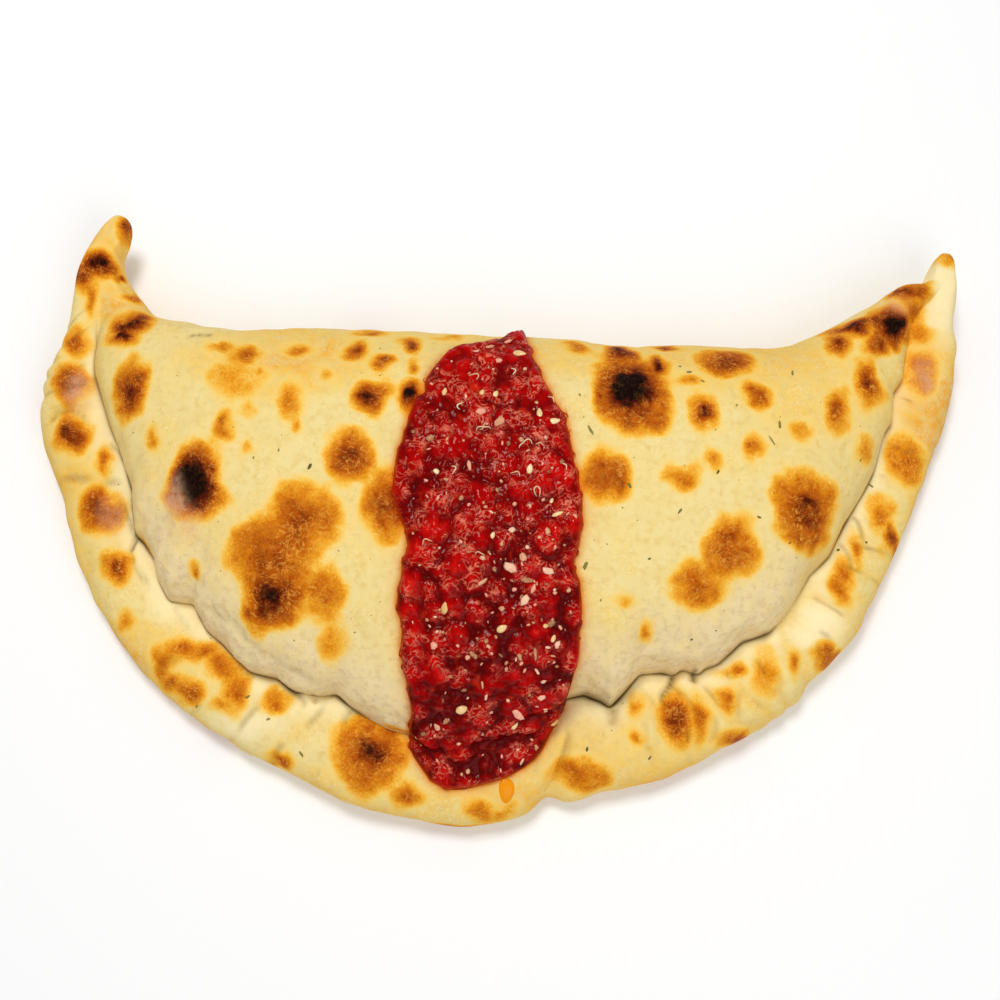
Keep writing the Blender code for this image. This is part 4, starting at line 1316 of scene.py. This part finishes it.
def specks_on_crust(random):
    """Tiny herb crumbs strewn over the dome."""
    specks = []
    while len(specks) < SPECKS:
        x, y = random.uniform(-0.14, 0.14), random.uniform(-0.09, 0.055)
        on_crust = y > -0.085 + 3.6 * x * x
        if on_crust and outside_sauce(np.array([[x, y, 0.0]]))[0] > CRUMB_MARGIN:
            length = random.uniform(0.0003, 0.0007)
            specks.append(Bit(x, y, length, 0.7 * length, random.uniform(0, 180)))
    return tuple(specks)


def bit_material(name, tones, size, **finish):
    """A small dry or wet bit: its colour goes by its tone, mottled at this size."""
    shader = Shader(name)
    mottle = shader.noise(size, detail=2.0)
    shade = shader.math("ADD", shader.field("tone"), shader.scaled(mottle, 0.3, 0.7, -0.14, 0.14), clamp=True)
    bump = shader.bump(mottle, size / 8, 0.6)
    return shader.finish(Base_Color=shader.ramp(shade, tones), Normal=bump, **finish)


def make_seeds(ground):
    finish = bit_material(
        "Tomato seed",
        ((0.0, srgb(224, 176, 104)), (0.5, srgb(238, 202, 140)), (1.0, srgb(246, 218, 166))),
        0.0009,
        Roughness=0.35,
        Specular_IOR_Level=0.3,
        Coat_Weight=0.6,
        Coat_Roughness=0.12,
    )
    random = np.random.default_rng(51)
    bodies = laid_bodies(SEEDS, seed_shape, ground, random, sink=0.0)
    return scattered_piece("tomato_seeds", bodies, finish, random)


def make_flakes(ground):
    finish = bit_material(
        "Dried oregano",
        (
            (0.0, srgb(148, 100, 62)),
            (0.25, srgb(204, 146, 104)),
            (0.5, srgb(232, 172, 134)),
            (0.75, srgb(236, 152, 130)),
            (1.0, srgb(242, 200, 164)),
        ),
        0.0006,
        Roughness=0.6,
        Specular_IOR_Level=0.2,
    )
    random = np.random.default_rng(52)
    bits = FLAKES + crumbs_on_sauce(random)
    bodies = laid_bodies(bits, flake_shape, ground, random, sink=-0.1)
    return scattered_piece("oregano_flakes", bodies, finish, random)


def make_herbs(ground):
    finish = bit_material(
        "Green herb",
        ((0.0, srgb(84, 84, 36)), (0.4, srgb(120, 116, 52)), (0.75, srgb(146, 136, 70)), (1.0, srgb(122, 94, 48))),
        0.0005,
        Roughness=0.65,
        Specular_IOR_Level=0.15,
    )
    random = np.random.default_rng(53)
    bits = HERBS + specks_on_crust(random)
    bodies = laid_bodies(bits, flake_shape, ground, random, sink=-0.05)
    return scattered_piece("green_herbs", bodies, finish, random)


def make_shreds(ground):
    finish = bit_material(
        "Pale shred",
        ((0.0, srgb(226, 164, 120)), (0.5, srgb(238, 196, 152)), (1.0, srgb(246, 222, 188))),
        0.0006,
        Roughness=0.35,
        Specular_IOR_Level=0.3,
        Coat_Weight=0.5,
        Coat_Roughness=0.15,
    )
    bodies = [shred_body(shred, ground) for shred in SHREDS]
    return scattered_piece("pale_shreds", bodies, finish, np.random.default_rng(54))


def make_oil_drop(ground):
    """A low drop of orange oil that has run down over the rim."""
    rings, corners = 8, 24
    angle = np.linspace(0, 2 * math.pi, corners, endpoint=False)
    uneven = 1 + 0.06 * np.sin(3 * angle + 0.6)
    points = []
    for share in np.linspace(0.0, 0.96, rings):
        reach = math.cos(share * math.pi / 2) * uneven
        height = OIL_HEIGHT * math.sin(share * math.pi / 2) - OIL_SINK
        x = OIL_DROP.x + np.cos(angle) * reach * OIL_DROP.width / 2
        y = OIL_DROP.y + np.sin(angle) * reach * OIL_DROP.length / 2
        points += [(*place, ground_height(ground, *place) + height) for place in zip(x, y)]
    finish = bit_material(
        "Orange oil",
        ((0.0, srgb(232, 128, 0)), (1.0, srgb(240, 152, 4))),
        0.0020,
        Roughness=0.3,
        Specular_IOR_Level=0.05,
        Coat_Weight=0.2,
        Coat_Roughness=0.05,
    )
    bodies = [(np.array(points), ring_faces(rings, corners))]
    drop = scattered_piece("oil_drop", bodies, finish, np.random.default_rng(55))


# ---------------------------------------------------------------------------------------------------------
# Floor, light and camera.
# ---------------------------------------------------------------------------------------------------------

CAMERA_TARGET = Vector((0.0, 0.004, 0.020))
CAMERA_DISTANCE = 0.520
CAMERA_ELEVATION = math.radians(79)
CAMERA_LENS = 53.4  # mm, on a sensor 36 mm wide
FLOOR_SIZE = 8.0


def make_floor():
    half = FLOOR_SIZE / 2
    mesh = bpy.data.meshes.new("floor")
    mesh.from_pydata([(-half, -half, 0), (half, -half, 0), (half, half, 0), (-half, half, 0)], [], [(0, 1, 2, 3)])
    shader = Shader("Pale floor")
    mesh.materials.append(shader.finish(Base_Color=srgb(250, 250, 250), Roughness=0.6))
    floor = bpy.data.objects.new("floor", mesh)
    bpy.context.scene.collection.objects.link(floor)
    floor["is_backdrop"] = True


def make_world(strength):
    world = bpy.data.worlds.new("Studio")
    world.use_nodes = True
    background = world.node_tree.nodes["Background"]
    background.inputs["Color"].default_value = (1.0, 1.0, 1.0, 1.0)
    background.inputs["Strength"].default_value = strength
    bpy.context.scene.world = world


def make_softbox(name, place, size, power):
    light = bpy.data.lights.new(name, "AREA")
    light.shape = "RECTANGLE"
    light.size, light.size_y = size
    light.energy = power
    lamp = bpy.data.objects.new(name, light)
    lamp.location = place
    lamp.rotation_euler = (CAMERA_TARGET - Vector(place)).to_track_quat("-Z", "Y").to_euler()
    bpy.context.scene.collection.objects.link(lamp)


def make_camera():
    camera = bpy.data.objects.new("camera", bpy.data.cameras.new("camera"))
    camera.data.lens = CAMERA_LENS
    camera.data.clip_start = 0.01
    back = Vector((0.0, -math.cos(CAMERA_ELEVATION), math.sin(CAMERA_ELEVATION)))
    camera.location = CAMERA_TARGET + back * CAMERA_DISTANCE
    camera.rotation_euler = (math.pi / 2 - CAMERA_ELEVATION, 0.0, 0.0)
    bpy.context.scene.collection.objects.link(camera)
    bpy.context.scene.camera = camera


crust = make_crust()
sauce = make_sauce()
sauce_ground = ground_of(sauce)
crust_ground = ground_of(crust)
make_seeds(sauce_ground)
make_flakes(sauce_ground)
make_shreds(sauce_ground)
make_herbs(crust_ground)
make_oil_drop(crust_ground)
make_floor()
make_world(0.46)
make_softbox("key", (-0.12, 0.38, 1.1), (0.3, 0.3), 6.1)
make_softbox("fill", (0.35, -0.7, 1.0), (0.9, 0.9), 4.3)
make_camera()
bpy.context.scene.view_settings.view_transform = "Standard"

boxes = {"cad": CAD_BOX, "visual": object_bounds()}
{name: [list(corner) for corner in box] for name, box in boxes.items()}
